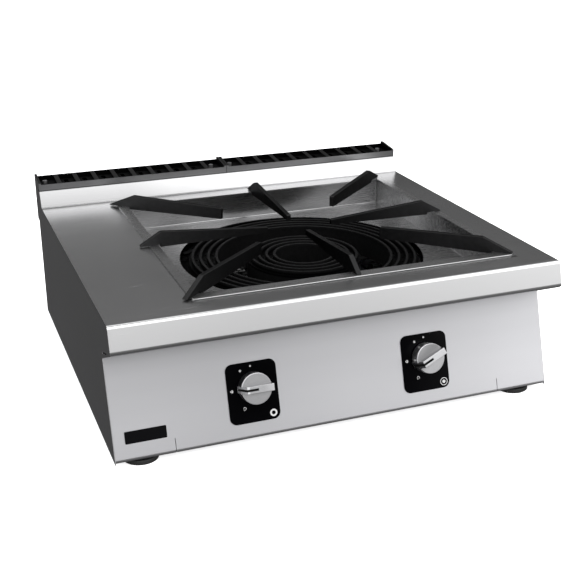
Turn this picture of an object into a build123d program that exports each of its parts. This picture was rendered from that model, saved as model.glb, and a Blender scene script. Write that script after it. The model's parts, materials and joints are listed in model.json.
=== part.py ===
from build123d import *
import os
from math import atan2, cos, degrees, radians, sin

os.makedirs("parts", exist_ok=True)

# A table-top gas stove for paella pans: a folded steel case with a square
# burner well, two concentric ring burners, eight lift-off pan arms, two
# push-and-turn gas knobs, a flue along the back and four levelling feet.
#
# Frame: X to the right, Y to the back, Z up, origin on the floor at the
# centre of the footprint. All lengths are millimetres.

# ---------------------------------------------------------------- case
WIDTH = 800.0
HALF = WIDTH / 2
REAR = 365.0                 # rearmost face
TOP = 257.0                  # worktop plane
GAUGE = 1.5                  # worktop sheet
SKIN = 1.2                   # case sheet
CASE_FLOOR = 12.0            # underside of the case
SLACK = 0.05                 # gap left between sheets that touch

SLOPE = 16.63                # front panel leans back by this many degrees
UP_Y, UP_Z = sin(radians(SLOPE)), cos(radians(SLOPE))
NORMAL = (0, -UP_Z, UP_Y)    # outward normal of the front panel
PANEL_Y0, PANEL_Z0 = -342.8, 16.8   # lower edge of the panel's flat
PANEL_TOP = 175.0            # length of the flat, up the slope

NOSE_CORNER_Y = -354.0       # where the worktop and apron planes meet
NOSE_R = 6.4
HEM_Y, HEM_Z = -366.45, 213.33      # apron lower corner
HEM_R = 7.0
HEM_DY, HEM_DZ = 0.891, -0.4535     # direction of the return under it
CREASE_Y = 291.6             # foot of the upstand
STAND_Y, STAND_Z = 305.3, 289.4     # top of the upstand

# ---------------------------------------------------------------- well
WELL_X0, WELL_X1 = -236.3, 328.5
WELL_Y0, WELL_Y1 = -278.3, 242.2
WELL_FLOOR = 205.5
RIM_X0, RIM_X1 = -253.3, 342.0       # outline of the well's flange
RIM_Y0, RIM_Y1 = -300.8, 260.5
RIM_TOP = 259.3
BURNER_X, BURNER_Y = 49.7, -21.0    # centre of both rings
HOLE_X, HOLE_Y = 45.2, -20.0        # centre of the round opening
ROUND_R = 234.4              # round opening in the well's floor

# ---------------------------------------------------------------- burners
BODY_BASE = 160.0
BODY_TOP = 196.4
RIDGE_TOP = 207.1
OUTER_IN, OUTER_OUT = 166.2, 221.0
INNER_IN, INNER_OUT = 54.6, 110.0
WALL = 5.0
OUTER_RIDGES = (168.6, 183.8, 199.0, 214.1)
INNER_RIDGES = (57.0, 72.0, 87.0, 102.0)
RIDGE_W = 4.6
TUBE_Z = 128.0               # axis height of the mixer tubes
OUTER_TUBE_X = -100.0
INNER_TUBE_X = BURNER_X
MOUTH_Y = -246.5             # mouth of each mixer tube

# ---------------------------------------------------------------- arms
ARM_X, ARM_Y = 41.5, -18.0   # centre of the eight arms
ARM_T = 9.0
# name: azimuth, tip radius, tongue start and end, heel, knee and length (all
# measured from the tip)
CORNER = degrees(atan2(274, 297))
ARMS = {
    "front_left": (180 + CORNER - 0.2, 414, 21.5, 27.5, 44, 53, 253),
    "front": (270, 277, 6, 12, 26, 36, 234),
    "front_right": (360 - CORNER, 407.3, 8.3, 13.8, 37.3, 54.8, 246.3),
    "right": (0, 303.4, 5.9, 11.4, 30.4, 41.4, 238.4),
    "rear_right": (CORNER + 0.9, 410, 15, 20.5, 42, 51.5, 255),
    "rear": (90.6, 287, 15.5, 21.5, 31, 41, 233),
    "rear_left": (180 - CORNER, 414.8, 22.3, 28.3, 44.8, 53.8, 251.8),
    "left": (180, 311, 22.5, 28.5, 38, 39, 246),
}

# ---------------------------------------------------------------- controls
KNOB_X = 160.0
AXIS_S = 84.0                # knob axis, up the slope from the lower edge
AXIS_Y = PANEL_Y0 + AXIS_S * UP_Y
AXIS_Z = PANEL_Z0 + AXIS_S * UP_Z
KNOB_R = 26.5
KNOB_FACE, KNOB_BAR = 25.0, 33.0
KNOB_BASE = 5.2
LEFT_TURN, RIGHT_TURN = 90.0, 114.0   # pointer, anticlockwise from up
SPINDLE_R = 4.0
PORT_D = 40.0                # depth of the valve's outlet behind the panel
PORT_Y = AXIS_Y + PORT_D * UP_Z
PORT_Z = AXIS_Z - PORT_D * UP_Y
LEG_D = 52.0
RAIL_Y = AXIS_Y + LEG_D * UP_Z
LEG_TOP = AXIS_Z - LEG_D * UP_Y
RAIL_Z = 45.0

FOOT_X, FOOT_Y = 351.0, 308.0


def control_plane(x, turn=0.0, out=0.0):
    """Plane on a knob axis: local z points out of the panel and local y
    points up the slope, turned anticlockwise by `turn` degrees."""
    a = radians(turn)
    return Plane(
        origin=(x, AXIS_Y - out * UP_Z, AXIS_Z + out * UP_Y),
        x_dir=(cos(a), sin(a) * UP_Y, sin(a) * UP_Z),
        z_dir=NORMAL,
    )


def arm_plane(azimuth, radius):
    """Plane of one arm: origin at its tip on the worktop, local x inward
    and local y up."""
    a = radians(azimuth)
    return Plane(
        origin=(ARM_X + radius * cos(a), ARM_Y + radius * sin(a), TOP),
        x_dir=(-cos(a), -sin(a), 0),
        z_dir=(-sin(a), cos(a), 0),
    )


def nearest(sketch, u, v):
    """The vertex of a sketch nearest a point given in the sketch's own plane."""
    return sketch.vertices().sort_by_distance((u, v, 0))[0]


# ================================================================ worktop
# One folded sheet: a ledge for the flue, the upstand, the flat, the
# rounded nose, the leaning apron and the return under it.
with BuildPart() as worktop:
    with BuildSketch(Plane.YZ) as worktop_section:
        with BuildLine():
            FilletPolyline(
                (STAND_Y + 15, STAND_Z - SLACK),
                (STAND_Y, STAND_Z - SLACK),
                (CREASE_Y, TOP),
                (NOSE_CORNER_Y, TOP),
                (HEM_Y, HEM_Z),
                (HEM_Y + 15 * HEM_DY, HEM_Z + 15 * HEM_DZ),
                radius=[1.0, 7.0, NOSE_R, HEM_R],
            )
            offset(amount=GAUGE, side=Side.LEFT)
        make_face()
    extrude(amount=HALF, both=True)
    # cut-out for the burner well
    with BuildSketch(Plane.XY.offset(TOP - 4)):
        with Locations(((WELL_X0 + WELL_X1) / 2, (WELL_Y0 + WELL_Y1) / 2)):
            RectangleRounded(WELL_X1 - WELL_X0 + 4, WELL_Y1 - WELL_Y0 + 4, 6)
    extrude(amount=8, mode=Mode.SUBTRACT)
    # slots for the tongues of the arms
    for azimuth, radius, start, end, *_ in ARMS.values():
        with BuildSketch(arm_plane(azimuth, radius)):
            with Locations(((start + end) / 2, -3)):
                Rectangle(end - start + 1, 8)
        extrude(amount=ARM_T / 2 + 0.5, both=True, mode=Mode.SUBTRACT)
worktop.part.label = "worktop"
export_step(worktop.part, "parts/worktop.step")

# ================================================================ well
# Deep frame with a raised flange that lies on the worktop.
WELL_C = ((WELL_X0 + WELL_X1) / 2, (WELL_Y0 + WELL_Y1) / 2)
WELL_W, WELL_D = WELL_X1 - WELL_X0, WELL_Y1 - WELL_Y0
RIM_C = ((RIM_X0 + RIM_X1) / 2, (RIM_Y0 + RIM_Y1) / 2)
RIM_W, RIM_D = RIM_X1 - RIM_X0, RIM_Y1 - RIM_Y0
with BuildPart() as well_frame:
    with BuildSketch(Plane.XY.offset(RIM_TOP - GAUGE)):
        with Locations(RIM_C):
            RectangleRounded(RIM_W, RIM_D, 10)
        with Locations(WELL_C):
            RectangleRounded(WELL_W, WELL_D, 4, mode=Mode.SUBTRACT)
    extrude(amount=GAUGE)
    with BuildSketch(Plane.XY.offset(TOP + SLACK)):
        with Locations(RIM_C):
            RectangleRounded(RIM_W, RIM_D, 10)
            RectangleRounded(RIM_W - 2.4, RIM_D - 2.4, 8.8, mode=Mode.SUBTRACT)
    extrude(amount=RIM_TOP - GAUGE - TOP - SLACK)
    with BuildSketch(Plane.XY.offset(WELL_FLOOR - GAUGE)):
        with Locations(WELL_C):
            RectangleRounded(WELL_W + 3, WELL_D + 3, 5.5)
            RectangleRounded(WELL_W, WELL_D, 4, mode=Mode.SUBTRACT)
    extrude(amount=RIM_TOP - GAUGE - (WELL_FLOOR - GAUGE))
    for azimuth, radius, start, end, *_ in ARMS.values():
        with BuildSketch(arm_plane(azimuth, radius)):
            with Locations(((start + end) / 2, 0)):
                Rectangle(end - start + 1, 8)
        extrude(amount=ARM_T / 2 + 0.5, both=True, mode=Mode.SUBTRACT)
    # soft outer edge of the flange
    fillet(
        [
            e for e in well_frame.edges()
            if abs(e.center().Z - RIM_TOP) < 0.01
            and (
                abs(abs((e @ 0.5).X - RIM_C[0]) - RIM_W / 2) < 3.5
                or abs(abs((e @ 0.5).Y - RIM_C[1]) - RIM_D / 2) < 3.5
            )
            and e.length > 8
        ],
        radius=0.8,
    )
well_frame.part.label = "well_frame"
export_step(well_frame.part, "parts/well_frame.step")

# Floor of the well with its round, collared opening.
with BuildPart() as well_floor:
    with BuildSketch(Plane.XY.offset(WELL_FLOOR - GAUGE)):
        with Locations(WELL_C):
            RectangleRounded(WELL_W - 2 * SLACK, WELL_D - 2 * SLACK, 4)
        with Locations((HOLE_X, HOLE_Y)):
            Circle(ROUND_R, mode=Mode.SUBTRACT)
    extrude(amount=GAUGE)
    with BuildSketch(Plane.XY.offset(WELL_FLOOR - 14)):
        with Locations((HOLE_X, HOLE_Y)):
            Circle(ROUND_R + GAUGE)
            Circle(ROUND_R, mode=Mode.SUBTRACT)
    extrude(amount=13)
well_floor.part.label = "well_floor"
export_step(well_floor.part, "parts/well_floor.step")

# ================================================================ side panels
# The side follows the worktop's section from inside and carries on below
# the apron as a slanted gusset that meets the front panel.
LEAN = 0.2857                # apron: forward travel per unit of drop
INSIDE = GAUGE + SLACK


def apron_inner(z):
    """Y of the apron's inner face at height z."""
    return NOSE_CORNER_Y - (TOP - z) * LEAN + INSIDE * 1.04


STAND_LEAN = (STAND_Y - CREASE_Y) / (STAND_Z - TOP)
CREASE_IN_Y = CREASE_Y + 1.04          # crease, on the sheet's underside
STAND_IN_Y = CREASE_IN_Y + (STAND_Z - INSIDE - SLACK - TOP + INSIDE) * STAND_LEAN
hem_end_y = HEM_Y + 15 * HEM_DY
hem_end_z = HEM_Z + 15 * HEM_DZ
# where the underside of the gusset meets the panel's flat
gusset = (PANEL_Y0 + 169.0 * UP_Y, PANEL_Z0 + 169.0 * UP_Z)
side_outline = [
    (-343.9, CASE_FLOOR),
    (PANEL_Y0 - 0.75, PANEL_Z0 - 2.5),
    gusset,
    (hem_end_y + SLACK, hem_end_z - SLACK * 0.5),
    (hem_end_y + SLACK + 0.4535 * INSIDE, hem_end_z + 0.891 * INSIDE),
    (HEM_Y + 1.85, HEM_Z + 0.79),
    (apron_inner(TOP - INSIDE), TOP - INSIDE),
    (CREASE_IN_Y, TOP - INSIDE),
    (STAND_IN_Y, STAND_Z - INSIDE - SLACK),
    (STAND_Y + 15.05, STAND_Z - INSIDE - SLACK),
    (STAND_Y + 15.05, STAND_Z - SLACK),
    (REAR, STAND_Z - SLACK),
    (REAR, 215.0),
    (349.0, 215.0),
    (349.0, CASE_FLOOR),
]
with BuildSketch(Plane.YZ.offset(-HALF)) as side_sketch:
    with BuildLine():
        Polyline(*side_outline, close=True)
    make_face()
    fillet(nearest(side_sketch, *side_outline[6]), radius=NOSE_R - INSIDE)
    fillet(nearest(side_sketch, *side_outline[7]), radius=7.0 + INSIDE)
    fillet(nearest(side_sketch, *side_outline[5]), radius=HEM_R - INSIDE)
    fillet(nearest(side_sketch, *side_outline[8]), radius=0.5)

with BuildPart() as left_side_panel:
    add(side_sketch.sketch)
    extrude(amount=SKIN, dir=(1, 0, 0))
    # narrow seam left open under the end of the apron
    with BuildSketch(Plane.YZ.offset(-HALF)):
        with Locations(Location((-317.0, 197.0), -18.8)):
            SlotOverall(42, 3.2)
    extrude(amount=SKIN, dir=(1, 0, 0), mode=Mode.SUBTRACT)
left_side_panel.part.label = "left_side_panel"
export_step(left_side_panel.part, "parts/left_side_panel.step")

with BuildPart() as right_side_panel:
    add(mirror(left_side_panel.part, about=Plane.YZ, mode=Mode.PRIVATE))
right_side_panel.part.label = "right_side_panel"
export_step(right_side_panel.part, "parts/right_side_panel.step")

INNER_HALF = HALF - SKIN - SLACK

# ================================================================ front panel
with BuildPart() as front_panel:
    with BuildSketch(Plane.YZ):
        with BuildLine():
            FilletPolyline(
                (-322.0, CASE_FLOOR),
                (PANEL_Y0 - (PANEL_Z0 - CASE_FLOOR) * UP_Y / UP_Z, CASE_FLOOR),
                (PANEL_Y0 + PANEL_TOP * UP_Y, PANEL_Z0 + PANEL_TOP * UP_Z),
                radius=5.8,
            )
            offset(amount=SKIN, side=Side.RIGHT)
        make_face()
    extrude(amount=INNER_HALF, both=True)
    # spindle holes
    for x in (-KNOB_X, KNOB_X):
        with BuildSketch(control_plane(x)):
            Circle(6.5)
        extrude(amount=4, both=True, mode=Mode.SUBTRACT)
    # two fine slits rising from the lower edge
    for x in (-299.0, 300.0):
        with BuildSketch(control_plane(x)):
            with Locations((0, -AXIS_S + 10)):
                Rectangle(1.0, 24)
        extrude(amount=3, both=True, mode=Mode.SUBTRACT)
front_panel.part.label = "front_panel"
export_step(front_panel.part, "parts/front_panel.step")

# Soffit and stiffening rail between the apron and the front panel.
with BuildPart() as front_rail:
    with BuildSketch(Plane.YZ):
        with BuildLine():
            FilletPolyline(
                (HEM_Y + 7.2 * HEM_DY + 0.4535 * INSIDE, HEM_Z + 7.2 * HEM_DZ + 0.891 * INSIDE),
                (-295.2, HEM_Z + (HEM_Y + 295.2) * 0.509 + 2.4),
                (-295.2, TOP - INSIDE),
                radius=2.5,
            )
            offset(amount=GAUGE, side=Side.LEFT)
        make_face()
    extrude(amount=INNER_HALF, both=True)
front_rail.part.label = "front_rail"
export_step(front_rail.part, "parts/front_rail.step")

# ================================================================ base
with BuildPart() as base_pan:
    with BuildSketch(Plane.XY.offset(CASE_FLOOR)):
        with Locations((0, (-321.9 + 347.7) / 2)):
            Rectangle(2 * INNER_HALF, 347.7 + 321.9)
    extrude(amount=SKIN)
    # upright lips along the sides and the back
    with BuildSketch(Plane.XY.offset(CASE_FLOOR + SKIN)):
        for x in (-INNER_HALF + SKIN / 2, INNER_HALF - SKIN / 2):
            with Locations((x, (-321.9 + 347.7) / 2)):
                Rectangle(SKIN, 347.7 + 321.9)
        with Locations((0, 347.7 - SKIN / 2)):
            Rectangle(2 * INNER_HALF, SKIN)
    extrude(amount=16)
    # air slots under the burners
    with BuildSketch(Plane.XY.offset(CASE_FLOOR - 1)):
        with Locations((BURNER_X, BURNER_Y)):
            with GridLocations(90, 26, 5, 9):
                SlotOverall(70, 9)
    extrude(amount=4, mode=Mode.SUBTRACT)
    # holes for the feet
    with BuildSketch(Plane.XY.offset(CASE_FLOOR - 1)):
        with GridLocations(2 * FOOT_X, 2 * FOOT_Y, 2, 2):
            Circle(5.6)
    extrude(amount=4, mode=Mode.SUBTRACT)
base_pan.part.label = "base_pan"
export_step(base_pan.part, "parts/base_pan.step")

# ================================================================ rear panel
# One sheet, stepped out under the flue.
with BuildPart() as rear_panel:
    with BuildSketch(Plane.YZ):
        with BuildLine():
            FilletPolyline(
                (349.0, CASE_FLOOR),
                (349.0, 215.0),
                (REAR, 215.0),
                (REAR, STAND_Z - SLACK),
                radius=[1.5, 2.0],
            )
            offset(amount=SKIN, side=Side.LEFT)
        make_face()
    extrude(amount=INNER_HALF, both=True)
    with BuildSketch(Plane.XZ.offset(-349.0)):
        with Locations((300.0, RAIL_Z)):
            Circle(10.9)
    extrude(amount=6, both=True, mode=Mode.SUBTRACT)
    # air louvres low on the back
    with BuildSketch(Plane.XZ.offset(-349.0)):
        with Locations((BURNER_X, 120)):
            with GridLocations(120, 16, 4, 5):
                SlotOverall(90, 5)
    extrude(amount=6, both=True, mode=Mode.SUBTRACT)
rear_panel.part.label = "rear_panel"
export_step(rear_panel.part, "parts/rear_panel.step")

# ================================================================ flue
# Two equal halves side by side. Each is a steel frame whose top carries
# narrow cross ribs, over a dark slotted baffle held by two screws.
RIB_AT = (42.6, 81.2, 119.5, 160.6, 200.0, 240.0, 280.0, 319.0, 358.0)
LIP_Z = 302.3                # top of the front face
BACK_Z = 306.2               # top of the rear face
PLATE_Z = 305.4              # front top of each end plate
HORN_Z = 311.0               # rear peak of each end plate
END_T = 4.7                  # thickness of an end plate
RIB = 9.0                    # width of a rib
SCREWS = (17.0, 374.5)
BAFFLE_Z = 294.6


def flue_frame(x0, start, end):
    """One half of the flue frame, from x = start to x = end. The ribs are
    placed from x0."""
    with BuildPart() as half:
        # front face, sloping ribs and rear face share one section
        with BuildSketch(Plane.YZ.offset(start)):
            with BuildLine():
                Polyline(
                    (STAND_Y, STAND_Z), (STAND_Y, LIP_Z), (REAR, BACK_Z), (REAR, STAND_Z),
                    (REAR - SKIN, STAND_Z), (REAR - SKIN, BACK_Z - 1.3),
                    (STAND_Y + SKIN, LIP_Z - 1.2), (STAND_Y + SKIN, STAND_Z), close=True,
                )
            make_face()
        extrude(amount=end - start, dir=(1, 0, 0))
        # openings between the ribs
        edges = [END_T + 0.6] + [r for r in RIB_AT] + [400 - END_T - 1.2]
        spans = []
        for i in range(len(edges) - 1):
            a = edges[i] + (0 if i == 0 else RIB / 2)
            b = edges[i + 1] - (0 if i == len(edges) - 2 else RIB / 2)
            spans.append((a, b))
        with BuildSketch(Plane.XY.offset(BAFFLE_Z)):
            for a, b in spans:
                with Locations((x0 + (a + b) / 2, (STAND_Y + REAR) / 2 + 0.2)):
                    Rectangle(b - a, REAR - STAND_Y - 3.6)
        extrude(amount=20, mode=Mode.SUBTRACT)
        # thick end plates with a peak at the back
        for x in (start, end - END_T):
            with BuildSketch(Plane.YZ.offset(x)):
                with BuildLine():
                    Polyline(
                        (STAND_Y, STAND_Z), (STAND_Y, PLATE_Z), (STAND_Y + 2, PLATE_Z),
                        (REAR - 6, HORN_Z), (REAR, HORN_Z), (REAR, STAND_Z), close=True,
                    )
                make_face()
            extrude(amount=END_T, dir=(1, 0, 0))
    return half.part


with BuildPart() as flue_trim_left:
    add(flue_frame(-400.0, -400.0 + SLACK, -0.6))
flue_trim_left.part.label = "flue_trim_left"
export_step(flue_trim_left.part, "parts/flue_trim_left.step")

with BuildPart() as flue_trim_right:
    add(flue_frame(0.0, 0.6, 400.0 - SLACK))
flue_trim_right.part.label = "flue_trim_right"
export_step(flue_trim_right.part, "parts/flue_trim_right.step")

# Dark baffle plates, one under each frame.
with BuildPart() as flue_baffles:
    for x0 in (-400.0, 0.0):
        with BuildSketch(Plane.XY.offset(BAFFLE_Z)):
            with Locations((x0 + 200, (STAND_Y + REAR) / 2)):
                Rectangle(400 - 2 * END_T - 1.6, REAR - STAND_Y - 2 * SKIN - 0.2)
            for i, r in enumerate(RIB_AT[:-1]):
                mid = (r + RIB_AT[i + 1]) / 2
                with Locations((x0 + mid, (STAND_Y + REAR) / 2)):
                    SlotOverall(44, 9, rotation=90, mode=Mode.SUBTRACT)
            for s in SCREWS:
                with Locations((x0 + s, 339.0)):
                    Circle(1.8, mode=Mode.SUBTRACT)
        extrude(amount=SKIN)
flue_baffles.part.label = "flue_baffles"
export_step(flue_baffles.part, "parts/flue_baffles.step")

with BuildPart() as flue_screws:
    for x0 in (-400.0, 0.0):
        for s in SCREWS:
            with BuildSketch(Plane.XY.offset(BAFFLE_Z - 8)):
                with Locations((x0 + s, 339.0)):
                    Circle(1.7)
            extrude(amount=8 + SKIN + 0.02)
            with BuildSketch(Plane.XY.offset(BAFFLE_Z + SKIN + 0.02)):
                with Locations((x0 + s, 339.0)):
                    Circle(4.7)
            extrude(amount=6.2)
            with BuildSketch(Plane.XY.offset(BAFFLE_Z + SKIN + 4.4)):
                with Locations((x0 + s, 339.0)):
                    Rectangle(5.4, 1.1)
                    Rectangle(1.1, 5.4)
            extrude(amount=3, mode=Mode.SUBTRACT)
flue_screws.part.label = "flue_screws"
export_step(flue_screws.part, "parts/flue_screws.step")

# ================================================================ burner bridges
with BuildPart() as burner_bridges:
    for y in (-70.0, 34.0):
        with BuildSketch(Plane.XZ.offset(-(y - 8))):
            with BuildLine():
                FilletPolyline(
                    (-213.0, WELL_FLOOR - GAUGE - SLACK),
                    (-195.0, WELL_FLOOR - GAUGE - SLACK),
                    (-195.0, BODY_BASE - SLACK),
                    (290.0, BODY_BASE - SLACK),
                    (290.0, WELL_FLOOR - GAUGE - SLACK),
                    (308.0, WELL_FLOOR - GAUGE - SLACK),
                    radius=[1.0, 3.0, 3.0, 1.0],
                )
                offset(amount=2.0, side=Side.RIGHT)
            make_face()
        extrude(amount=-16)
burner_bridges.part.label = "burner_bridges"
export_step(burner_bridges.part, "parts/burner_bridges.step")

# ================================================================ burners


def ring_section(inside, outside):
    """Closed half-section of an open-topped ring trough, in the XZ plane."""
    return [
        (inside, BODY_BASE), (outside, BODY_BASE), (outside, BODY_TOP),
        (outside - WALL, BODY_TOP), (outside - WALL, BODY_BASE + 6),
        (inside + WALL, BODY_BASE + 6), (inside + WALL, BODY_TOP), (inside, BODY_TOP),
    ]


BURNER_PLANE = Plane(origin=(BURNER_X, BURNER_Y, 0), x_dir=(1, 0, 0), z_dir=(0, -1, 0))
BURNER_AXIS = Axis((BURNER_X, BURNER_Y, 0), (0, 0, 1))
OUTER_PORT_Y = BURNER_Y - 119.8
INNER_PORT_Y = BURNER_Y - 82.5

with BuildPart() as outer_burner_body:
    with BuildSketch(BURNER_PLANE):
        with BuildLine():
            Polyline(*ring_section(OUTER_IN, OUTER_OUT), close=True)
        make_face()
    revolve(axis=BURNER_AXIS)
    with BuildSketch(Plane.XY.offset(BODY_BASE - 1)):
        with Locations((OUTER_TUBE_X, OUTER_PORT_Y)):
            Circle(16)
    extrude(amount=8, mode=Mode.SUBTRACT)
outer_burner_body.part.label = "outer_burner_body"
export_step(outer_burner_body.part, "parts/outer_burner_body.step")

with BuildPart() as inner_burner_body:
    with BuildSketch(BURNER_PLANE):
        with BuildLine():
            Polyline(*ring_section(INNER_IN, INNER_OUT), close=True)
        make_face()
    revolve(axis=BURNER_AXIS)
    with BuildSketch(Plane.XY.offset(BODY_BASE - 1)):
        with Locations((INNER_TUBE_X, INNER_PORT_Y)):
            Circle(16)
    extrude(amount=8, mode=Mode.SUBTRACT)
inner_burner_body.part.label = "inner_burner_body"
export_step(inner_burner_body.part, "parts/inner_burner_body.step")

CROWN = BODY_TOP + SLACK
with BuildPart() as outer_burner_crown:
    with BuildSketch(Plane.XY.offset(CROWN)):
        with Locations((BURNER_X, BURNER_Y)):
            Circle(OUTER_OUT + 0.5)
            Circle(OUTER_IN, mode=Mode.SUBTRACT)
    extrude(amount=3)
    # lifting lug that reaches towards the collar
    with BuildSketch(Plane.XY.offset(CROWN)):
        with Locations(Location((-149.1, 84.9), 23.6)):
            Rectangle(34, 11)
        with Locations((HOLE_X, HOLE_Y)):
            Circle(231.5, mode=Mode.INTERSECT)
    extrude(amount=4.0)
    with BuildSketch(Plane.XY.offset(CROWN + 3)):
        with Locations((BURNER_X, BURNER_Y)):
            for r in reversed(OUTER_RIDGES):
                Circle(r + RIDGE_W / 2)
                Circle(r - RIDGE_W / 2, mode=Mode.SUBTRACT)
    extrude(amount=RIDGE_TOP - CROWN - 3)
    # locating ring inside the trough
    with BuildSketch(Plane.XY.offset(BODY_TOP - 6)):
        with Locations((BURNER_X, BURNER_Y)):
            Circle(173.9)
            Circle(171.6, mode=Mode.SUBTRACT)
    extrude(amount=6 + SLACK)
    # flame ports in the grooves between the ridges
    with BuildSketch(Plane.XY.offset(CROWN - 1)):
        with Locations((BURNER_X, BURNER_Y)):
            for r in (176.2, 191.4, 206.5):
                with PolarLocations(r, 48):
                    Circle(2.0)
    extrude(amount=5, mode=Mode.SUBTRACT)
outer_burner_crown.part.label = "outer_burner_crown"
export_step(outer_burner_crown.part, "parts/outer_burner_crown.step")

with BuildPart() as inner_burner_crown:
    with BuildSketch(Plane.XY.offset(CROWN)):
        with Locations((BURNER_X, BURNER_Y)):
            Circle(INNER_OUT + 0.5)
            Circle(INNER_IN, mode=Mode.SUBTRACT)
    extrude(amount=3)
    with BuildSketch(Plane.XY.offset(CROWN + 3)):
        with Locations((BURNER_X, BURNER_Y)):
            for r in reversed(INNER_RIDGES):
                Circle(r + RIDGE_W / 2)
                Circle(r - RIDGE_W / 2, mode=Mode.SUBTRACT)
    extrude(amount=RIDGE_TOP - CROWN - 3)
    with BuildSketch(Plane.XY.offset(BODY_TOP - 6)):
        with Locations((BURNER_X, BURNER_Y)):
            Circle(62.2)
            Circle(60.0, mode=Mode.SUBTRACT)
    extrude(amount=6 + SLACK)
    with BuildSketch(Plane.XY.offset(CROWN - 1)):
        with Locations((BURNER_X, BURNER_Y)):
            for r in (64.6, 79.5, 94.5):
                with PolarLocations(r, 24):
                    Circle(2.0)
    extrude(amount=5, mode=Mode.SUBTRACT)
inner_burner_crown.part.label = "inner_burner_crown"
export_step(inner_burner_crown.part, "parts/inner_burner_crown.step")

# ================================================================ mixer tubes


def mixer(x, port_y):
    """Mixer tube: bell mouth with an injector yoke, straight run, elbow."""
    with BuildPart() as tube:
        with BuildLine() as route:
            FilletPolyline(
                (x, MOUTH_Y + 20, TUBE_Z), (x, port_y, TUBE_Z), (x, port_y, BODY_BASE - SLACK),
                radius=24,
            )
        with BuildSketch(Plane(origin=(x, MOUTH_Y + 20, TUBE_Z), z_dir=(0, 1, 0))):
            Circle(19)
            Circle(16, mode=Mode.SUBTRACT)
        sweep(path=route.line)
        # bell mouth
        with BuildSketch(Plane(origin=(x, 0, TUBE_Z), x_dir=(1, 0, 0), z_dir=(0, 0, 1))):
            with BuildLine():
                Polyline(
                    (16, MOUTH_Y + 20), (23, MOUTH_Y), (26, MOUTH_Y), (19, MOUTH_Y + 20),
                    close=True,
                )
            make_face()
        revolve(axis=Axis((x, 0, TUBE_Z), (0, 1, 0)))
        # yoke that carries the injector in front of the mouth
        for s in (-1, 1):
            with BuildSketch(Plane(origin=(x + s * 24.5, 0, TUBE_Z), x_dir=(0, 1, 0), z_dir=(1, 0, 0))):
                with Locations((MOUTH_Y - 12.5, 0)):
                    Rectangle(29, 10)
            extrude(amount=1.5, both=True)
        with BuildSketch(Plane(origin=(x, MOUTH_Y - 27, TUBE_Z), x_dir=(1, 0, 0), z_dir=(0, -1, 0))):
            Rectangle(52, 14)
            Circle(6.0 + SLACK, mode=Mode.SUBTRACT)
        extrude(amount=-3)
    return tube.part


with BuildPart() as outer_mixer_tube:
    add(mixer(OUTER_TUBE_X, OUTER_PORT_Y))
outer_mixer_tube.part.label = "outer_mixer_tube"
export_step(outer_mixer_tube.part, "parts/outer_mixer_tube.step")

with BuildPart() as inner_mixer_tube:
    add(mixer(INNER_TUBE_X, INNER_PORT_Y))
inner_mixer_tube.part.label = "inner_mixer_tube"
export_step(inner_mixer_tube.part, "parts/inner_mixer_tube.step")


def injector(x):
    """Brass injector: elbow block, hexagon, barrel and drilled nose."""
    with BuildPart() as jet:
        with BuildSketch(Plane(origin=(x, MOUTH_Y - 27 - SLACK, TUBE_Z), x_dir=(1, 0, 0), z_dir=(0, -1, 0))):
            RegularPolygon(9, 6)
        extrude(amount=12.5)
        with BuildSketch(Plane(origin=(x, MOUTH_Y - 27 - SLACK, TUBE_Z), x_dir=(1, 0, 0), z_dir=(0, 1, 0))):
            Circle(6)
        extrude(amount=26)
        with BuildSketch(Plane(origin=(x, MOUTH_Y - 1.05, TUBE_Z), x_dir=(1, 0, 0), z_dir=(0, 1, 0))):
            Circle(6)
        extrude(amount=5, taper=30)
        # inlet boss below the block
        with BuildSketch(Plane(origin=(x, PORT_Y, TUBE_Z))):
            Circle(5.5)
        extrude(amount=-11)
        # bored passage and jet hole
        with BuildSketch(Plane(origin=(x, PORT_Y, TUBE_Z - 11))):
            Circle(2.5)
        extrude(amount=12, mode=Mode.SUBTRACT)
        with BuildSketch(Plane(origin=(x, PORT_Y, TUBE_Z), x_dir=(1, 0, 0), z_dir=(0, 1, 0))):
            Circle(0.9)
        extrude(amount=50, mode=Mode.SUBTRACT)
    return jet.part


with BuildPart() as outer_injector:
    add(injector(OUTER_TUBE_X))
outer_injector.part.label = "outer_injector"
export_step(outer_injector.part, "parts/outer_injector.step")

with BuildPart() as inner_injector:
    add(injector(INNER_TUBE_X))
inner_injector.part.label = "inner_injector"
export_step(inner_injector.part, "parts/inner_injector.step")


def shutter(x):
    """Air shutter: a disc and hub that run along the injector's barrel."""
    with BuildPart() as disc:
        with BuildSketch(Plane(origin=(x, MOUTH_Y - 12, TUBE_Z), x_dir=(1, 0, 0), z_dir=(0, 1, 0))):
            Circle(21.5)
            Circle(6.0 + SLACK, mode=Mode.SUBTRACT)
        extrude(amount=2)
        with BuildSketch(Plane(origin=(x, MOUTH_Y - 18, TUBE_Z), x_dir=(1, 0, 0), z_dir=(0, 1, 0))):
            Circle(9.5)
            Circle(6.0 + SLACK, mode=Mode.SUBTRACT)
        extrude(amount=7)
    return disc.part


with BuildPart() as outer_air_shutter:
    add(shutter(OUTER_TUBE_X))
outer_air_shutter.part.label = "outer_air_shutter"
export_step(outer_air_shutter.part, "parts/outer_air_shutter.step")

with BuildPart() as inner_air_shutter:
    add(shutter(INNER_TUBE_X))
inner_air_shutter.part.label = "inner_air_shutter"
export_step(inner_air_shutter.part, "parts/inner_air_shutter.step")

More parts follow.
